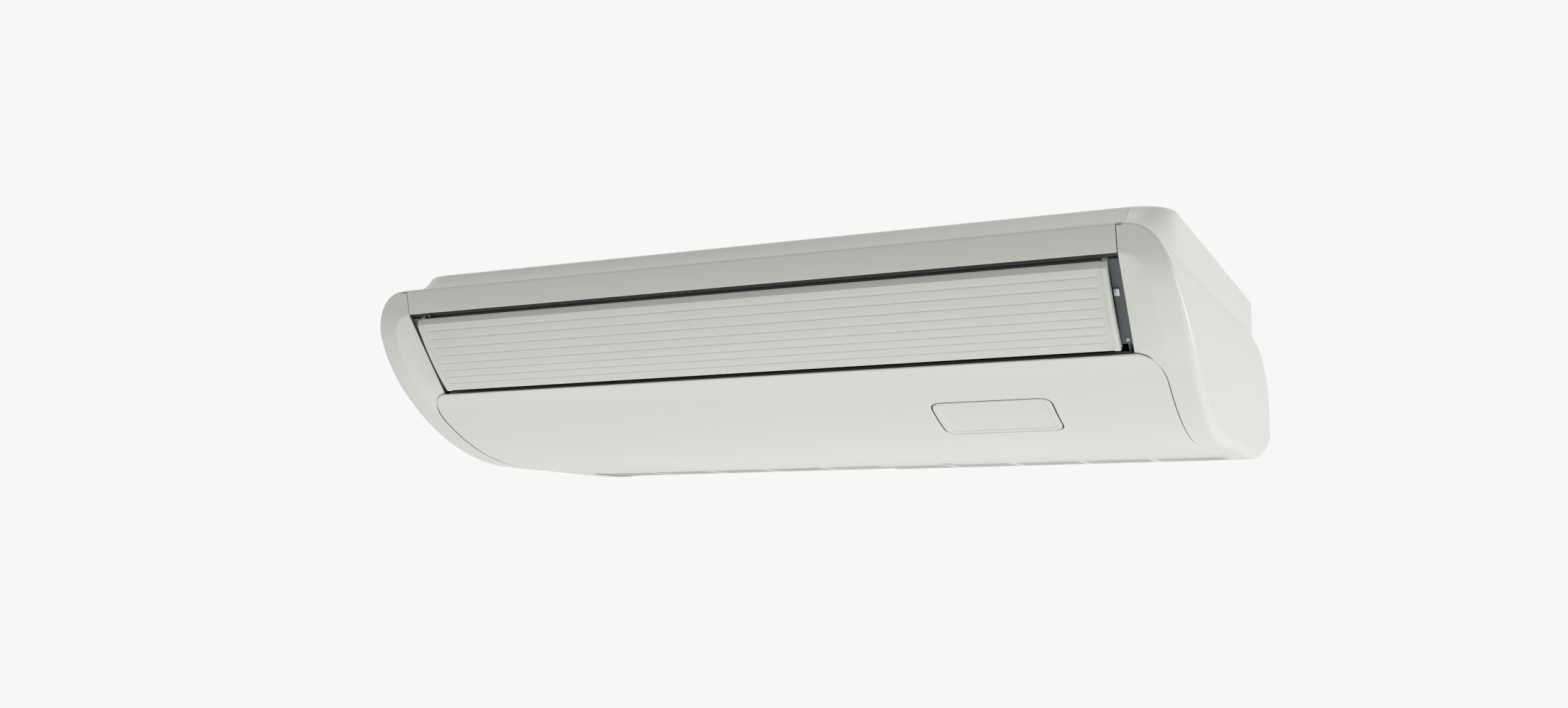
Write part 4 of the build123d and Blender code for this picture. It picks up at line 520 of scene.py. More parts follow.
def on_nose(across, run, depth=0.0):
    """A point of belly and nose: back = b - (R - depth) sin(run / R), up = R - (R - depth) cos(run / R)."""
    turn = np.maximum(run, 0.0) / nose_radius
    inner = nose_radius - depth
    back = belly_front - inner * np.sin(turn) - np.minimum(run, 0.0)
    up = nose_radius - inner * np.cos(turn)
    return stacked(across, back, up)


def run_of(up):
    """The run at a height of the nose: R arccos(1 - up / R)."""
    return nose_radius * np.arccos(1.0 - np.asarray(up) / nose_radius)


def panel_width(run):
    """Half the panel's width: straight, then a quarter circle of 28 mm in the front view."""
    up = nose_radius * (1.0 - np.cos(np.maximum(run, 0.0) / nose_radius))
    rise = np.clip((up - panel_top + panel_corner) / panel_corner, 0.0, 1.0)
    return panel_half - panel_corner * (1.0 - np.sqrt(1.0 - rise ** 2))


def edge_distance(across, run):
    """Distance along the surface from the panel's edge, measured square to the edge."""
    turn = np.maximum(run, 0.0) / nose_radius
    up = nose_radius * (1.0 - np.cos(turn))
    aside, rise = np.abs(across) - outlet_half, up - (panel_top - panel_corner)
    reach = np.maximum(np.hypot(aside, rise), 1e-6)
    slope = np.hypot(aside / reach, rise / reach * np.sin(turn))
    corner = (panel_corner - reach) / np.maximum(slope, 0.2)
    straight = np.where(rise > 0.0, np.where(aside > 0.0, corner, run_top - run), panel_half - np.abs(across))
    return np.minimum(straight, run - run_rear)


def rounded_drop(distance, radius):
    """How far a rounded edge falls away: r - sqrt(r^2 - (r - d)^2) within one radius of the edge."""
    near = radius - np.clip(distance, 0.0, radius)
    return radius - np.sqrt(radius ** 2 - near ** 2)


edge_round = 1.5
edge_steps = np.array([0.0, 0.12, 0.35, 0.7, 1.1, edge_round, 2.4, 4.0, 7.0, 12.0])
print("panel runs from", round(run_rear, 1), "to", round(float(run_top), 1))

# %% [markdown]
# The receiver window sits in the panel behind a narrow groove. Round the groove the grid of the panel
# is left out, and rings lead from its square rim to the rounded rectangle, so that all cells join.

# %% Rings round a rounded rectangle
window_across, window_run = 264.4, nose_radius * np.radians(23.3)
window_half, window_corner = np.array([68.0, 36.0]), 11.0
block_half = window_half + 11.0


def square_loop(columns, rows):
    """The rim of a grid as one closed line of points, counter-clockwise, first point repeated."""
    low, high = rows[0], rows[-1]
    left, right = columns[0], columns[-1]
    across = np.concatenate([columns, np.full(len(rows) - 1, right), columns[::-1][1:],
                             np.full(len(rows) - 1, left)])
    along = np.concatenate([np.full(len(columns), low), rows[1:], np.full(len(columns) - 1, high),
                            rows[::-1][1:]])
    return stacked(across, along)


def rounded_loops(loop, loops):
    """Carry a square loop inwards: scaled to each half size, its corners turned on a circle.

    A point q of the square goes to c + r (q - c) / |q - c|, where c is q held inside by the radius."""
    rings = []
    for *half, radius, depth in loops:
        square = loop * half
        hold = np.array(half) - radius
        core = np.clip(square, -hold, hold)
        away = square - core
        length = np.maximum(np.linalg.norm(away, axis=1, keepdims=True), 1e-9)
        rings.append(stacked(*(core + radius * away / length).T, depth))
    return np.stack(rings)


block_columns, block_rows = np.linspace(-1.0, 1.0, 19), np.linspace(-1.0, 1.0, 13)
unit_loop = square_loop(block_columns, block_rows)
groove = 1.4
hole = window_half + groove
hole_rings = rounded_loops(unit_loop, [
    (*block_half, 0.0, 0.0), (*(window_half + 8.0), 4.0, 0.0), (*(window_half + 5.0), 8.0, 0.0),
    (*(hole + 1.6), 13.6, 0.0), (*(hole + 0.8), 12.9, 0.0), (*(hole + 0.4), 12.6, 0.12),
    (*(hole + 0.15), 12.4, 0.35), (*hole, 12.2, 0.8), (*hole, 12.2, 4.0), (*hole, 12.2, 8.0)])


def window_rings(rings):
    """Rings of across, along and depth about the window's middle, put on the nose in metres."""
    return metres(on_nose(window_across + rings[..., 0], window_run + rings[..., 1], rings[..., 2]))


print("rings", hole_rings.shape)

# %% [markdown]
# Two small notches at the rear edge of the panel let the latches of the intake grilles through. They
# are cells left out of the grid. The lip at the top turns back into the outlet.

# %% Front panel
latch_half, latch_across, latch_depth = 6.5, 98.9, 7.0
column_places = np.unique(np.round(np.concatenate([
    panel_half - edge_steps, edge_steps - panel_half, np.linspace(-440.0, 180.0, 38),
    window_across + block_half[0] * block_columns, np.linspace(350.0, 440.0, 6),
    [s * latch_across + k * latch_half for s in (-1, 1) for k in (-1, 1)]]), 4))
corner_turn = np.radians(np.linspace(0.0, 90.0, 22))
row_places = np.unique(np.round(np.concatenate([
    run_rear + edge_steps[:-2], [run_rear + latch_depth], np.linspace(run_rear + 14.0, -4.0, 14),
    np.linspace(0.0, window_run - block_half[1] - 6.0, 14), window_run + block_half[1] * block_rows,
    run_of(panel_top - panel_corner + panel_corner * np.sin(corner_turn)), run_top - edge_steps[:-2]]), 4))
grid_across = column_places / panel_half * panel_width(row_places)[:, None]
grid_run = row_places[:, None]
panel_points = on_nose(grid_across, grid_run, rounded_drop(edge_distance(grid_across, grid_run), edge_round))
lip_steps = np.array([3.0, 7.0, 10.0])[:, None, None] * [0.0, 1.0, 0.0]
panel_points = np.concatenate([panel_points, panel_points[-1:] + lip_steps])
middle_across = middles(column_places)
middle_run = middles(np.append(row_places, [run_top + 1, run_top + 2, run_top + 3]))
in_window = ((np.abs(middle_across - window_across) < block_half[0])[None, :]
             & (np.abs(middle_run - window_run) < block_half[1])[:, None])
in_notch = ((np.abs(np.abs(middle_across) - latch_across) < latch_half)[None, :]
            & (middle_run < run_rear + latch_depth)[:, None])
make_piece("front_panel_shell", [(metres(panel_points), False, in_window | in_notch),
                                 (window_rings(hole_rings), True)],
           "casing", ("front_panel",), "white_abs", thickness=cover_wall)

# %% [markdown]
# The window itself is a shallow dish of smooth plastic: a raised rim, a small step, and a flat field.
# The rings end on a square, and a plain grid closes the middle.

# %% Receiver window
field_half, field_depth = np.array([55.0, 23.0]), 1.0
pane_rings = rounded_loops(unit_loop, [
    *[(*window_half, window_corner, depth) for depth in (8.0, 4.0, 0.7)],
    (67.85, 35.85, 10.9, 0.35), (67.6, 35.6, 10.7, 0.12), (67.2, 35.2, 10.4, 0.0), (65.0, 33.0, 8.6, 0.0),
    (62.8, 30.8, 6.4, 0.0), (62.3, 30.3, 6.2, 0.1), (62.0, 30.0, 6.0, 0.4), (61.7, 29.7, 5.8, 0.85),
    (61.2, 29.2, 5.5, 1.0), (58.0, 26.0, 2.5, 1.0), (*field_half, 0.0, field_depth)])
field = stacked(field_half[0] * block_columns, (field_half[1] * block_rows)[:, None], field_depth)
make_piece("window_shell", [(window_rings(pane_rings), True), (window_rings(field), False)],
           "casing", ("display_cover",), "window_plastic", thickness=1.6)

# %% [markdown]
# The joints round the panel, beside the outlet and round the window are narrow and deep, so they lie in
# shade. Their walls are separate thin linings in the dark ABS of the frame behind, closed all round: this is
# painted shade, dark sheets that stand in for the shade deep in the joints.

# %% Joint linings, painted shade
# painted shade: a dark lining along each cover's edge stands in for the shade inside the joint
cover_way, cover_foot = -towards_nose, front_sheet[:, 0]
cover_steps = np.array([[-0.05, 0.5], [-0.05, 9.0], [1.2, 9.0], [1.2, 0.5], [-0.05, 0.5]])
cover_joint_shade = np.stack([cover_foot + step * cover_way + [aside, 0.0, 0.0] for aside, step in cover_steps],
                       axis=1)
# painted shade: a dark lining along each side of the panel stands in for the shade inside the joint
panel_steps = np.array([[0.05, 1.8], [0.05, 8.0], [-1.2, 8.0], [-1.2, 2.6], [0.05, 1.8]])
panel_joint_shade = np.stack([on_nose(panel_width(row_places) + aside, row_places, depth)
                        for aside, depth in panel_steps], axis=1)
for side, name in sides:
    for label, joint_shade in (("cover", cover_joint_shade), ("panel", panel_joint_shade)):
        closed_piece(f"{label}_joint_{name}", joint_shade, side)
# painted shade: a dark lining round the window's groove stands in for the shade inside it
channel = np.array([[1.35, 0.9], [1.35, 7.5], [0.05, 7.5], [0.05, 0.9], [-0.7, 0.9], [-0.7, 8.4], [2.1, 8.4],
                    [2.1, 0.9], [1.35, 0.9]])
window_joint_shade_rings = rounded_loops(unit_loop, [(*(window_half + wide), window_corner + wide, depth)
                                          for wide, depth in channel])
make_piece("window_joint_shade", [(window_rings(window_joint_shade_rings), True)], "casing", (), "dark_abs")

# %% [markdown]
# Folded and moulded strips have one section all along. A section is a line of corners, each rounded by
# its own radius, and the strip is that section carried from side to side. The first is the trim strip.

# %% Sections carried across
def rounded_line(corners, radii, steps=8):
    """A line through corners, each rounded: an arc of the radius that touches both of its sides."""
    corners = np.asarray(corners, float)
    made = [corners[0][None, :]]
    for before, corner, after, radius in zip(corners, corners[1:], corners[2:], radii):
        first = (before - corner) / np.linalg.norm(before - corner)
        second = (after - corner) / np.linalg.norm(after - corner)
        half = np.arccos(np.clip(first @ second, -1.0, 1.0)) / 2.0
        centre = corner + (first + second) / np.linalg.norm(first + second) * radius / np.sin(half)
        start = corner + first * radius / np.tan(half) - centre
        stop = corner + second * radius / np.tan(half) - centre
        made.append(centre + swing(start, stop, np.pi - 2.0 * half, np.linspace(0, 1, steps)[:, None]))
    made.append(corners[-1][None, :])
    return np.concatenate(made)


def carried(section, across):
    """A section of back and up, repeated at each place across."""
    return stacked(across, section[:, :1], section[:, 1:])


strip_section = rounded_line([(11.6, 171.6), strip_foot, strip_head, (24.0, cover_top)], [0.8, 2.2])
strip_across = np.linspace(-outlet_half, outlet_half, 41)
make_piece("strip_shell", [(metres(carried(strip_section, strip_across)), False)], "casing", ("top_strip",),
           "white_abs", thickness=2.2)

# %% [markdown]
# The upper casing is a steel sheet that rises from the strip in a hollow curve, turns over a narrow
# brow and covers the top. At each end a moulded cap carries the same curve round the corner.

# %% Casing section
cove_front, cove_rear, cove_radius = np.array([6.0, 199.9]), np.array([72.0, 229.4]), 100.0
brow_back, casing_top, casing_corner, casing_half = 78.0, 231.5, 117.5, 474.6
cove_count = 34
chord = cove_rear - cove_front
lift = np.sqrt(cove_radius ** 2 - chord @ chord / 4.0) / np.linalg.norm(chord)
cove_centre = (cove_front + cove_rear) / 2.0 + lift * np.array([-chord[1], chord[0]])
towards_front, towards_rear = cove_front - cove_centre, cove_rear - cove_centre
cove_turn = np.linspace(np.arctan2(*towards_front[::-1]), np.arctan2(*towards_rear[::-1]), cove_count)
cove = cove_centre + cove_radius * stacked(np.cos(cove_turn), np.sin(cove_turn))
brow_share = np.linspace(0.0, 1.0, 10)[1:, None]
brow_line = np.concatenate([
    cove_rear[0] + (brow_back - cove_rear[0]) * brow_share,
    cove_rear[1] + (casing_top - cove_rear[1]) * (1.0 - (1.0 - brow_share) ** 2)], axis=1)
print("cove centre", cove_centre.round(1))

# %% [markdown]
# The sheet itself is the section carried from cap to cap. On the real unit it is folded and pressed from
# one blank of steel, so it has one thickness all over.

# %% Casing sheet
top_line = stacked(np.linspace(90.0, body_depth, 24), casing_top)
casing_section = np.concatenate([cove, brow_line, top_line])
make_piece("casing_sheet_shell", [(metres(carried(casing_section, np.linspace(-432.85, 432.85, 31))), False)],
           "casing", ("top_casing",), "casing_sheet", thickness=1.6)

# %% [markdown]
# A cap turns the section through a quarter ellipse in plan. Towards the side the hollow fades out and
# and the top edge keeps a small round, so each line of the section has one height in front and another
# at the side, and they mix by the square of the sine of the turn.

# %% Corner of a casing cap
cap_inner, cap_round, cap_gap, top_count = 433.15, 5.0, 0.6, 12
top_run = np.linspace(0.0, 1.0, top_count + 1)[1:]
front_back = np.concatenate([cove[:, 0], brow_line[:, 0], brow_back + (casing_corner - brow_back) * top_run])
front_rise = np.concatenate([cove[:, 1], brow_line[:, 1], np.full(top_count, casing_top)])
side_turn = np.linspace(0.0, np.pi / 2.0, 10)[1:]
side_inset = np.concatenate([np.zeros(cove_count), cap_round * (1.0 - np.cos(side_turn)),
                             cap_round + (casing_half - cap_inner - cap_round) * top_run])
side_rise = np.concatenate([np.linspace(0.0, casing_top - cap_round, cove_count), casing_top - cap_round
                            + cap_round * np.sin(side_turn), np.full(top_count, casing_top)])


def cover_shoulder(across):
    """Height of the cover's shoulder at a place across, from its outline."""
    return np.interp(across, outline[:, 0], outline[:, 1])


def cap_patch(turns):
    """The cap's corner: x = 433 + (w - inset) sin t, back = c - (c - b) cos t, height mixed by sin^2 t."""
    turn = np.radians(turns)[None, :]
    across = cap_inner + (casing_half - cap_inner - side_inset)[:, None] * np.sin(turn)
    back = casing_corner - (casing_corner - front_back)[:, None] * np.cos(turn)
    foot = cover_shoulder(across[0] + 0.4) + cap_gap
    front_share = ((front_rise - front_rise[0]) / (casing_top - front_rise[0]))[:, None]
    side_share = np.clip((side_rise[:, None] - foot) / (casing_top - foot), 0.0, 1.0)
    low_share = np.linspace(0.0, 1.0, cove_count)[:, None]
    side_share[:cove_count] = low_share * (casing_top - cap_round - foot) / (casing_top - foot)
    mix = np.sin(turn) ** 2
    share = (1.0 - mix) * front_share + mix * side_share
    return stacked(across, back, foot + share * (casing_top - foot))


corner_patch = cap_patch(np.concatenate([np.linspace(0.0, 82.0, 22), np.linspace(84.0, 90.0, 5)]))
print("cap corner", corner_patch.shape[:2])

# %% [markdown]
# Behind its corner a cap runs straight to the rear. Two holes in the top of each cap let the hanging
# bolts reach the brackets: cells are left out there, and rings lead from the square gap to each hole.

# %% Casing caps
cap_wall, slot_middles, slot_block = 2.0, (230.0, 550.0), 16.0
slot_reach = np.linspace(-1.0, 1.0, top_count + 1)
long_back = np.concatenate([
    [casing_corner, 140.0, 180.0], slot_middles[0] + slot_block * slot_reach, [290.0, 350.0, 410.0, 470.0],
    slot_middles[1] + slot_block * slot_reach, [600.0, 650.0, body_depth]])
side_line = corner_patch[:, -1]
long_patch = stacked(side_line[:, :1], long_back, side_line[:, 2:])
long_middle = middles(long_back)
in_slot = np.zeros((len(side_line) - 1, len(long_middle)), bool)
in_slot[-top_count:] = np.min(np.abs(long_middle[:, None] - slot_middles), axis=1) < slot_block
top_half = (casing_half - cap_round - cap_inner) / 2.0
slot_loops = rounded_loops(square_loop(slot_reach, slot_reach), [
    (top_half, slot_block, 0.0, 0.0), (17.5, 12.0, 9.0, 0.0), (17.0, 10.0, 10.0, 0.0)])
slot_patches = [stacked(cap_inner + top_half + slot_loops[..., 0], middle + slot_loops[..., 1], casing_top)
                for middle in slot_middles]
under = shoulder[shoulder[:, 0] < casing_half - 0.5]
rear_under = stacked(under[:, 0], body_depth, under[:, 1] + cap_gap)
cap_rear = np.concatenate([long_patch[:, -1], [[cap_inner, body_depth, 199.9]], rear_under])
for side, name in sides:
    make_piece(f"casing_cap_{name}",
               [(metres(corner_patch, side), side > 0), (metres(long_patch, side), side > 0, in_slot),
                *[(metres(patch, side), side > 0) for patch in slot_patches]],
               "casing", (f"casing_end_{name}",), "white_abs", thickness=cap_wall,
               fills=[(metres(cap_rear, side), side > 0)])

# %% [markdown]
# The flap is an extruded-looking moulding: a gently bulging blade with eight shallow channels, its top
# bent back so that it catches less light, and a small return at the foot. The channels stop just short
# of the ends. The section is worked out by length along it, and the channels are taken off its normal.

# %% Flap blade
flap_half, flap_bulge = 415.8, 4.2
flap_head, flap_foot = np.array([7.4, 163.2]), np.array([70.6, 83.8])
flap_chord = flap_foot - flap_head
flap_length = float(np.linalg.norm(flap_chord))
flap_out = np.array([-flap_chord[1], flap_chord[0]]) / flap_length * -1.0
channel_share = np.array([0.153, 0.263, 0.379, 0.491, 0.600, 0.703, 0.801, 0.900])
channel_offsets, channel_levels = np.array([-2.1, -1.2, 0.7, 1.5]), np.array([0.0, 0.5, 0.5, 0.0])
channel_marks = (channel_share[:, None] * flap_length + channel_offsets[None, :]).ravel()
channel_depths = np.tile(channel_levels, 8)
bend_share = 0.07
walk = np.unique(np.round(np.concatenate([np.linspace(bend_share, 1.0, 60) * flap_length, channel_marks]), 3))


def flap_section(proud, channelled):
    """Front face of the flap: the chord plus a parabola of 4.2 mm, less the channels, with both ends bent."""
    share = walk[:, None] / flap_length
    line = flap_head + share * flap_chord + flap_out * (4.0 * flap_bulge * share * (1.0 - share) + proud)
    depth = np.interp(walk, channel_marks, channel_depths)[:, None] if channelled else 0.0
    line = line - flap_out * depth
    top = np.array([[15.0, 164.7], [13.2, 164.6], [12.6, 164.0], [12.2, 162.8], [11.2, 158.8]])
    foot = np.array([[72.4, 83.0], [74.6, 83.4]])
    return np.concatenate([top + flap_out * proud, line, foot + flap_out * proud])


channelled = flap_section(0.0, True)
plain = flap_section(0.0, False)
channel_ends = np.array([-411.4, -410.9, 410.9, 411.4])
blade_across = np.concatenate([[-flap_half], channel_ends[:2], np.linspace(-400.0, 400.0, 21), channel_ends[2:],
                               [flap_half]])
blade_fade = np.interp(blade_across, channel_ends, [0.0, 1.0, 1.0, 0.0])
blade = stacked(blade_across, plain[:, :1] + blade_fade * (channelled - plain)[:, :1],
                plain[:, 1:] + blade_fade * (channelled - plain)[:, 1:])
make_piece("flap_blade_shell", [(metres(blade), False)], "flap", ("flap_blade",), "grey_abs", thickness=2.6,
           sharp=22.0)

# %% [markdown]
# Each end of the blade is closed by a rib that stands about a millimetre proud of it. The rib's side view
# is the same section, closed by a line eleven millimetres behind, and its edges are softened.

# %% Flap ends
rib_proud, rib_depth, rib_gap = 1.2, 11.0, 0.1
rib_front = flap_section(rib_proud, False)
rib_inner = rib_front[::-3] - flap_out * rib_depth
rib_inner[:, 0] = np.maximum(rib_inner[:, 0], 17.0)
rib_outline = np.concatenate([rib_front, rib_inner])
rib_steps = np.array([[0.0, 0.5], [0.15, 0.2], [0.5, 0.0], [5.5, 0.0], [5.85, 0.2], [6.0, 0.5]])


def inset_line(line, amount):
    """A closed line moved inwards by an amount, along the normal of the chord between its neighbours."""
    chord_line = np.roll(line, -1, axis=0) - np.roll(line, 1, axis=0)
    normal = stacked(-chord_line[:, 1], chord_line[:, 0])
    normal = normal / np.maximum(np.linalg.norm(normal, axis=1, keepdims=True), 1e-9)
    area = np.sum(line[:, 0] * np.roll(line[:, 1], -1) - np.roll(line[:, 0], -1) * line[:, 1])
    return line + np.sign(area) * amount * normal


for side, name in sides:
    rings = np.stack([stacked(flap_half + rib_gap + step, *inset_line(rib_outline, drop).T)
                      for step, drop in rib_steps])
    rings = np.concatenate([rings, rings[:, :1]], axis=1)
    closed_piece(f"flap_rib_{name}", rings, side, "flap", (f"flap_end_{name}",), "grey_abs")

# %% [markdown]
# Behind the gaps round the flap lie parts of the dark outlet frame: a stepped lip under the strip and an
# upright flange at each end, with a small zinc plated clip on it. The flap turns clear of them, and they
# keep the coil out of sight.

# %% Outlet lip and end flanges
lip_section = np.array([
    [13.0, 173.2], [13.0, 171.0], [17.4, 170.6], [17.4, 168.9], [21.5, 168.9], [21.5, 166.6], [24.0, 166.2],
    [24.0, 167.4], [22.9, 167.8], [22.9, 173.2], [13.0, 173.2]])
lip_points = carried(lip_section, np.linspace(-432.6, 432.6, 25))
make_piece("outlet_lip", [(metres(lip_points), False)], "casing", (), "dark_abs",
           fills=[(metres(lip_points[:-1, 0]), False), (metres(lip_points[:-1, -1]), True)])
flange_share, flange_depth = np.linspace(0.03, 0.99, 12)[:, None], 9.0
flange_line = flap_head + flange_share * flap_chord - flap_out * flange_depth
flange_ring = np.array([[422.2, 0.0], [438.0, 0.0], [438.0, 0.8], [422.2, 0.8], [422.2, 0.0]])
clip_across, clip_levels = 425.8, [[1.0, -0.3], [1.0, 2.2], [0.86, 2.6]]
clip_line = flange_line[4] + 0.15 * (flange_line[5] - flange_line[4])
clip = rounded_rectangle(np.array([clip_across, 0.0]), np.array([3.0, 4.2]), 1.0, 5)
clip = np.concatenate([clip, clip[:1]])
along = flap_chord / flap_length
for side, name in sides:
    flange_points = np.stack([stacked(across, *(flange_line - flap_out * deep).T)
                              for across, deep in flange_ring], axis=1)
    closed_piece(f"outlet_end_flange_{name}", flange_points, side)
    clip_rows = np.stack([stacked(clip_across + (clip[:, 0] - clip_across) * size,
                                  *(clip_line + clip[:, 1:] * size * along + flap_out * out).T)
                          for size, out in clip_levels])
    closed_piece(f"outlet_clip_{name}", clip_rows, side, slot="galvanised_steel")
print("flange line from", flange_line[0].round(1), "to", flange_line[-1].round(1))

# %% [markdown]
# Two more small fittings show in the gaps round the flap: a white peg with a domed end on the right, and
# the end of a dark pin under the strip on the left. Each is turned from a short section.

# %% Small fittings in the outlet
def turned(name, section, centre, axis, body, slot, sides=24):
    """A body of revolution: a section of distance and radius carried round an axis at a centre."""
    section = np.asarray(section, float)
    turn = np.linspace(0.0, 2.0 * np.pi, sides + 1)[None, :]
    axis = np.asarray(axis, float) / np.linalg.norm(axis)
    first = np.cross(axis, [0.0, 0.0, 1.0] if abs(axis[2]) < 0.9 else [1.0, 0.0, 0.0])
    first = first / np.linalg.norm(first)
    second = np.cross(axis, first)
    spoke = np.cos(turn)[..., None] * first + np.sin(turn)[..., None] * second
    points = np.asarray(centre) + section[:, :1, None] * axis + section[:, 1:, None] * spoke
    return make_piece(name, [(metres(points), False)], body, (), slot)


dome_turn = np.linspace(0.0, np.pi / 2.0, 7)
dome = stacked(2.2 * np.cos(dome_turn), 1.8 * np.sin(dome_turn))
peg_foot = flange_line[10] + 0.35 * (flange_line[11] - flange_line[10])
turned("outlet_peg", np.concatenate([dome + [1.6, 0.0], [[0.0, 1.8], [-1.0, 1.8]]]), (429.2, *peg_foot),
       (0.0, *flap_out), "casing", "white_abs")
pin = np.array([[0.0, 0.001], [0.0, 1.7], [0.5, 2.1], [4.0, 2.1], [4.5, 1.7], [10.0, 1.7]])
turned("strip_pin", pin, (-407.0, 13.2, 168.0), (0.0, 1.0, 0.1), "casing", "dark_abs")
print("fittings made")

# %% [markdown]
# A finish begins as two close colours and a grain. Colours are written as sRGB hex values, the way a
# paint card gives them, and Blender works with linear light, so one function turns them.

# %% Colours and nodes
def linear(hex_colour):
    """An sRGB hex colour as linear RGBA: c / 12.92 below 0.04045, ((c + 0.055) / 1.055) ** 2.4 above."""
    value = np.array([int(hex_colour[i:i + 2], 16) for i in (0, 2, 4)]) / 255.0
    light = np.where(value <= 0.04045, value / 12.92, ((value + 0.055) / 1.055) ** 2.4)
    return (*light.tolist(), 1.0)


def feed(tree, node, **sockets):
    """Feed a node's inputs, by name or as s and a number, with plain values or with other nodes' outputs."""
    for name, value in sockets.items():
        socket = node.inputs[int(name[1:])] if name[1:].isdigit() else node.inputs[name.replace("_", " ")]
        if isinstance(value, bpy.types.NodeSocket):
            tree.links.new(value, socket)
        else:
            socket.default_value = value
    return node


def add_node(tree, kind, settings=None, **sockets):
    """Add one node: settings are its properties, sockets are values, or outputs that feed its inputs."""
    node = tree.nodes.new(kind)
    for name, value in (settings or {}).items():
        setattr(node, name, value)
    return feed(tree, node, **sockets)


def empty_tree(block):
    """The node tree of a material or a world, with nothing in it."""
    block.use_nodes = True
    block.node_tree.nodes.clear()
    return block.node_tree


finishes = {}


def new_finish(name):
    """An empty material with its output, its shader and Object coordinates."""
    finishes[name] = bpy.data.materials.new(name)
    tree = empty_tree(finishes[name])
    shader = add_node(tree, "ShaderNodeBsdfPrincipled")
    add_node(tree, "ShaderNodeOutputMaterial", Surface=shader.outputs[0])
    return tree, shader, add_node(tree, "ShaderNodeTexCoord").outputs["Object"]


def mixed(tree, share, low, high):
    """Two hex colours mixed by a share."""
    return add_node(tree, "ShaderNodeMix", {"data_type": "RGBA"}, s0=share, s6=linear(low),
                    s7=linear(high)).outputs[2]


def about(tree, value, middle, spread):
    """A value of 0 to 1 mapped to a span about a middle."""
    return add_node(tree, "ShaderNodeMapRange", Value=value, To_Min=middle - spread,
                    To_Max=middle + spread).outputs[0]


def greatest(tree, first, second):
    """The greater of two values."""
    return add_node(tree, "ShaderNodeMath", {"operation": "MAXIMUM"}, s0=first, s1=second).outputs[0]


def lifted(tree, height, bump_mm):
    """The normal of a surface lifted by a height times so many millimetres."""
    return add_node(tree, "ShaderNodeBump", Height=height, Distance=bump_mm / 1000.0).outputs[0]


print("colour of paper white", [round(c, 3) for c in linear("F7F7F7")])

# %% [markdown]
# Most finishes here share one build. A wide, faint noise mixes the two colours, as pigment and dust do.
# A fine noise lifts the surface a few micrometres, as the etched face of a mould does, and a middle
# one varies the gloss. Grain sizes are real, or a little coarser where the real one would vanish.

# %% A grained finish
def grained(name, low, high, grain_mm, bump_mm, roughness, spread=0.06, metallic=0.0, stretch=(1, 1, 1),
            patch_mm=180.0, coat=0.0, sheen=0.0, ior=1.5, turn=(0, 0, 0)):
    """A surface with pigment variation, a fine bump and uneven gloss, all from noise in millimetres."""
    tree, shader, where = new_finish(name)
    mapped = add_node(tree, "ShaderNodeMapping", Vector=where, Scale=stretch, Rotation=turn).outputs[0]
    wide = add_node(tree, "ShaderNodeTexNoise", Vector=where, Scale=1000.0 / patch_mm, Detail=3.0)
    fine = add_node(tree, "ShaderNodeTexNoise", Vector=mapped, Scale=1000.0 / grain_mm, Detail=2.0)
    middle = add_node(tree, "ShaderNodeTexNoise", Vector=mapped, Scale=1000.0 / (12.0 * grain_mm), Detail=2.0)
    speck = add_node(tree, "ShaderNodeMix", {"data_type": "RGBA", "blend_type": "MULTIPLY"}, s0=0.06,
                     s6=mixed(tree, wide.outputs[0], low, high), s7=fine.outputs["Color"])
    feed(tree, shader, Base_Color=speck.outputs[2], Roughness=about(tree, middle.outputs[0], roughness, spread),
         Normal=lifted(tree, fine.outputs[0], bump_mm), Metallic=metallic, Coat_Weight=coat, Sheen_Weight=sheen)
    if not metallic:
        feed(tree, shader, IOR=ior)


# ABS, injection moulded in an etched tool: a warm white with a faint green cast and a satin skin
grained("moulded_white_abs", "E6E9E1", "E9EBE4", 0.9, 0.004, 0.36, ior=1.53, coat=0.2)
# the flap is the same ABS, moulded smoother and a shade greyer
grained("moulded_light_grey_abs", "E0E4DC", "E3E6DF", 0.9, 0.004, 0.40, ior=1.53)
# the window is clear-faced ABS, polished in the mould
grained("polished_white_abs", "E3E6DE", "E6E9E1", 1.6, 0.001, 0.24, ior=1.53, coat=0.2)
# powder coated sheet steel: a soft orange peel some two millimetres across
grained("powder_coated_steel", "E4E7E0", "E8EAE4", 2.2, 0.02, 0.38, ior=1.5)
# dark ABS inside the outlet, matt so that it does not show behind the flap
grained("moulded_dark_abs", "54585A", "5E6264", 1.1, 0.012, 0.55, ior=1.53)
# polypropylene fan wheels with their dull bloom
grained("moulded_dark_polypropylene", "26292B", "32363A", 1.4, 0.01, 0.55, ior=1.49)
# polystyrene scrolls, grey and plain
grained("moulded_grey_polystyrene", "A9ADAF", "B3B6B8", 1.2, 0.008, 0.5, ior=1.59)
# PVC drain socket
grained("extruded_grey_pvc", "8E9294", "989C9E", 1.8, 0.006, 0.42, ior=1.53, stretch=(1, 0.2, 1))
# EPDM rubber: nearly black, dull, with a dusty bloom
grained("moulded_black_rubber", "141414", "1E1E1D", 0.8, 0.02, 0.78, ior=1.52, sheen=0.15)
# motor shell: drawn steel under black enamel
grained("enamelled_motor_steel", "2B2D30", "34373A", 1.6, 0.01, 0.36, coat=0.3)
# turned brass unions: fine rings from the lathe tool round the pipe's axis
grained("turned_brass", "B5955A", "C7A768", 0.5, 0.01, 0.3, metallic=1.0, stretch=(0.2, 1, 0.2))
# drawn copper, a little tarnished where it was handled
grained("drawn_copper_tube", "A8663F", "C0835C", 0.7, 0.006, 0.32, metallic=1.0, patch_mm=60.0)
# ground shaft steel
grained("ground_shaft_steel", "9DA0A3", "B4B6B8", 0.4, 0.004, 0.24, metallic=1.0, stretch=(1, 0.15, 0.15))
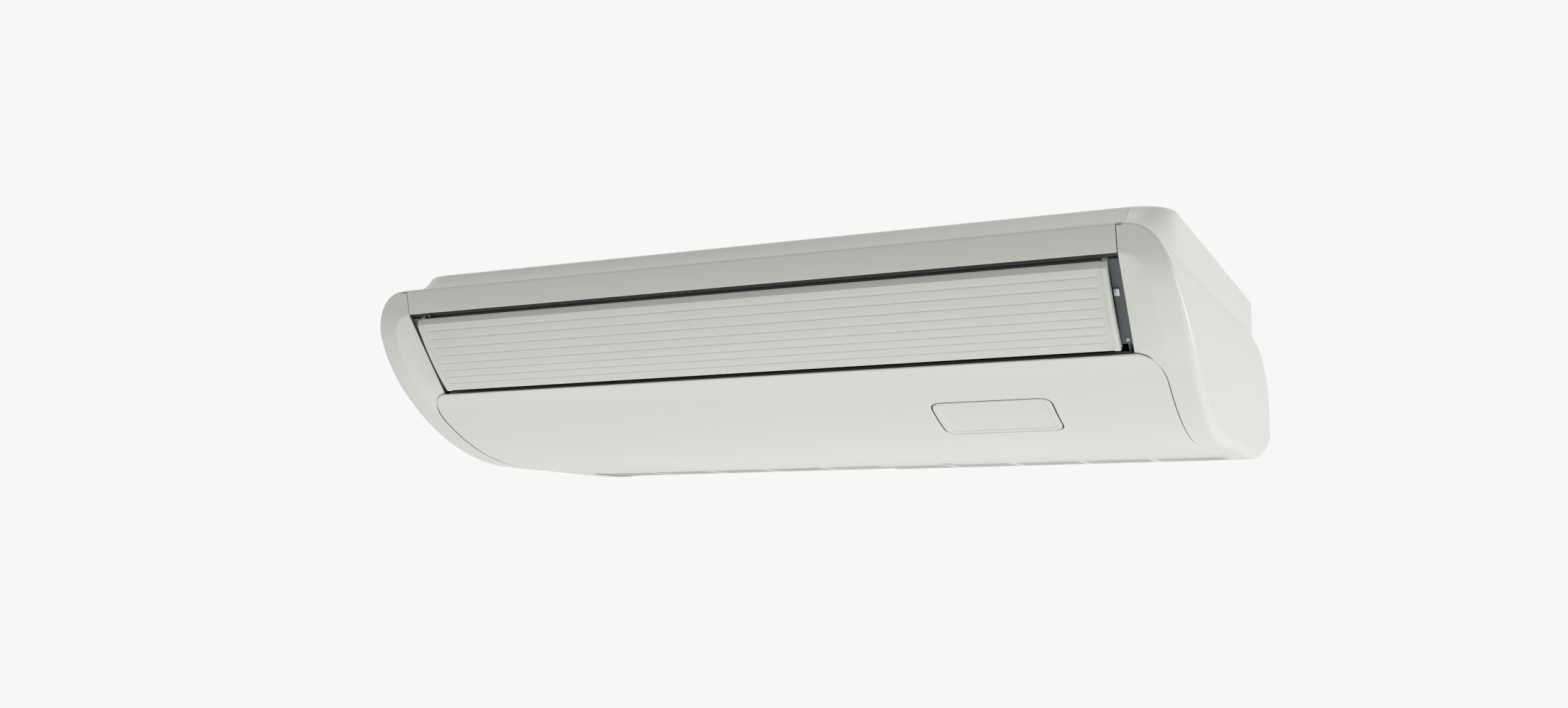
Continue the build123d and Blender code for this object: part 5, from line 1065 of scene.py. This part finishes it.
# zinc plated screws
grained("zinc_plated_screw_steel", "A9ADB0", "BFC2C3", 0.6, 0.006, 0.34, metallic=1.0)
# coil fins: rolled aluminium foil with a pale blue-green water film coat, its rolling lines run down
grained("coated_fin_foil", "A4B2B6", "B4BFC2", 0.5, 0.004, 0.36, metallic=1.0, stretch=(1, 1, 0.08))
print(len(finishes), "grained finishes")

# %% [markdown]
# Some surfaces have a pattern of their own. Hot-dip galvanised sheet shows flat zinc crystals, which a
# Voronoi texture gives with one grey per cell. Bead foam shows its beads in the same way, and the
# circuit board and the filter net show fine straight lines at right angles.

# %% Patterned finishes
def celled(name, low, high, cell_mm, bump_mm, roughness, metallic=0.0):
    """Cells of a given size, each with its own shade and gloss, and a small groove round each."""
    tree, shader, where = new_finish(name)
    cells = add_node(tree, "ShaderNodeTexVoronoi", Vector=where, Scale=1000.0 / cell_mm)
    edge = add_node(tree, "ShaderNodeTexVoronoi", {"feature": "DISTANCE_TO_EDGE"}, Vector=where,
                    Scale=1000.0 / cell_mm)
    shade = add_node(tree, "ShaderNodeSeparateColor", Color=cells.outputs["Color"])
    groove = add_node(tree, "ShaderNodeMapRange", Value=edge.outputs[0], From_Max=0.12)
    feed(tree, shader, Base_Color=mixed(tree, shade.outputs[0], low, high),
         Roughness=about(tree, shade.outputs[1], roughness, 0.08),
         Normal=lifted(tree, groove.outputs[0], bump_mm), Metallic=metallic)


def lined(name, ground, line, pitch_mm, width_share, bump_mm, roughness):
    """Fine straight lines along the two wide directions of a sheet, at one pitch."""
    tree, shader, where = new_finish(name)
    marks = []
    for direction in ("X", "Y"):
        wave = add_node(tree, "ShaderNodeTexWave", {"bands_direction": direction}, Vector=where,
                        Scale=1000.0 / pitch_mm / 20.0 * np.pi)
        marks.append(add_node(tree, "ShaderNodeMath", {"operation": "LESS_THAN"}, s0=wave.outputs[1],
                              s1=width_share).outputs[0])
    both = greatest(tree, *marks)
    feed(tree, shader, Base_Color=mixed(tree, both, ground, line), Roughness=roughness,
         Normal=lifted(tree, both, bump_mm))


# galvanised sheet: crystals some nine millimetres across, with a dull grey shine
celled("galvanised_sheet_steel", "A7ABAE", "BCC0C2", 9.0, 0.004, 0.42, metallic=1.0)
# expanded polystyrene: beads of four millimetres pressed together in the mould
celled("bead_polystyrene_foam", "DEE0DE", "ECEDEB", 4.0, 0.15, 0.7)
# glass epoxy board: green resist over tracks, at a coarse 2.5 mm grid
lined("green_epoxy_board", "1F5A38", "2F7A4C", 2.5, 0.2, 0.03, 0.3)
# filter net: woven polypropylene thread at 1.2 mm, coarser than the real 0.6 mm so that it shows
lined("woven_filter_net", "4A4E52", "6A6F73", 1.2, 0.35, 0.2, 0.6)
print(len(finishes), "finishes")

# %% [markdown]
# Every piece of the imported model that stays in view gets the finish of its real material. The record
# names a slot for each node, so a table from slot to finish does it for all of them at once.

# %% Finishes on the carried-over pieces
finish_of_slot = {
    "white_abs": "moulded_white_abs", "casing_sheet": "powder_coated_steel",
    "grey_abs": "moulded_light_grey_abs", "dark_abs": "moulded_dark_abs",
    "window_plastic": "polished_white_abs", "board": "green_epoxy_board",
    "galvanised_steel": "galvanised_sheet_steel", "fin_aluminium": "coated_fin_foil",
    "copper": "drawn_copper_tube", "brass_union": "turned_brass", "pan_foam": "bead_polystyrene_foam",
    "motor_shell": "enamelled_motor_steel", "shaft_steel": "ground_shaft_steel",
    "fan_plastic": "moulded_dark_polypropylene", "scroll_plastic": "moulded_grey_polystyrene",
    "drain_plastic": "extruded_grey_pvc", "filter_mesh": "woven_filter_net",
    "rubber": "moulded_black_rubber", "screw_zinc": "zinc_plated_screw_steel"}
slot_of_node = {part["node"]: part["material_slot"] for part in frame["record"]["subparts"]}


def coat(piece, finish):
    """Give a piece one finish, in the place of what it had."""
    piece.data.materials.clear()
    piece.data.materials.append(finishes[finish])


for node, piece in frame["nodes"].items():
    if not piece.material_slots:
        piece.data.materials.append(None)
    for holder in piece.material_slots:
        holder.material = finishes[finish_of_slot[slot_of_node[node]]]
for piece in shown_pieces():
    if not piece.data.materials:
        coat(piece, finish_of_slot[piece["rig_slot"]])
print("finished", len(frame["nodes"]), "nodes")

# %% [markdown]
# The unit hangs in an evenly lit pale room. The world is a soft grey light from all sides, and what
# the camera sees of it, directly or in a reflection, is the paper white behind the product. A pale floor
# lies a metre below, and three large soft lamps, on the right, below and above, shape the surfaces.

# %% World, floor and lamps
def any_ray(tree, *kinds):
    """1 for a ray of one of these kinds, and 0 for all others."""
    ray = add_node(tree, "ShaderNodeLightPath")
    seen = ray.outputs[kinds[0]]
    for kind in kinds[1:]:
        seen = greatest(tree, seen, ray.outputs[kind])
    return seen


def blended(tree, share, first, second, output):
    """Two shaders mixed by a share, fed to the output of a world or a material."""
    both = add_node(tree, "ShaderNodeMixShader", s0=share, s1=first.outputs[0], s2=second.outputs[0])
    add_node(tree, output, Surface=both.outputs[0])


world = bpy.data.worlds.new("studio")
bpy.context.scene.world = world
tree = empty_tree(world)
white, room_light, floor_glow, floor_share = (1.0, 1.0, 1.0, 1.0), 0.34, 1.085, 0.8
room = add_node(tree, "ShaderNodeBackground", Color=white, Strength=room_light)
paper = add_node(tree, "ShaderNodeBackground", Color=linear("F7F7F7"), Strength=1.0)
blended(tree, any_ray(tree, "Is Camera Ray", "Is Glossy Ray", "Is Transmission Ray"), room, paper,
        "ShaderNodeOutputWorld")

floor_mesh = bpy.data.meshes.new("floor")
floor_mesh.from_pydata([(-20, -20, -1), (20, -20, -1), (20, 20, -1), (-20, 20, -1)], [], [(0, 1, 2, 3)])
floor = in_scene("floor", floor_mesh)
floor_paint = bpy.data.materials.new("pale_floor_paint")
tree = empty_tree(floor_paint)
share = add_node(tree, "ShaderNodeMath", {"operation": "MULTIPLY"},
                 s0=any_ray(tree, "Is Camera Ray", "Is Glossy Ray"), s1=floor_share)
paint = add_node(tree, "ShaderNodeBsdfDiffuse", Color=linear("F0F0EE"))
glow = add_node(tree, "ShaderNodeEmission", Color=white, Strength=floor_glow)
blended(tree, share.outputs[0], paint, glow, "ShaderNodeOutputMaterial")
floor_mesh.materials.append(floor_paint)


def aim(thing, location, direction):
    """Put a lamp or the camera at a location and point it along a direction, upright."""
    thing.location = location
    thing.rotation_euler = Vector(direction).to_track_quat("-Z", "Y").to_euler()


def soft_lamp(name, location, target, width, height, power):
    """A rectangular lamp that looks at a target and is not seen by the camera."""
    data = bpy.data.lights.new(name, "AREA")
    data.shape, data.size, data.size_y, data.energy = "RECTANGLE", width, height, power
    lamp = in_scene(name, data)
    aim(lamp, location, Vector(target) - Vector(location))
    lamp.visible_camera = False


soft_lamp("right_lamp", (2.6, 0.3, -0.8), (0.3, 0.0, 0.1), 2.0, 1.6, 41.0)
soft_lamp("low_lamp", (0.0, -0.25, -0.95), (0.0, 0.0, 0.0), 2.6, 2.2, 15.5)
soft_lamp("high_lamp", (0.2, 0.2, 2.6), (0.0, 0.0, 0.0), 2.0, 2.0, 13.0)

# %% [markdown]
# The camera stands in front of the unit, to its right and a little below it, and looks up at it. Its
# place comes from the perspective lines of the photograph.

# %% The photograph's view
camera_data = bpy.data.cameras.new("photo_view")
camera_data.sensor_width = 36.0
camera_data.lens = 33.52
camera_data.shift_y = 0.0486
camera = in_scene("photo_view", camera_data)
aim(camera, (0.729, -1.7567, -0.130), (-0.4183, 0.9040, 0.0888))
bpy.context.scene.camera = camera
bpy.context.scene.view_settings.view_transform = "Standard"
print("camera at", tuple(camera.location))

# %% [markdown]
# The scene is now dressed.

print("scene dressed")
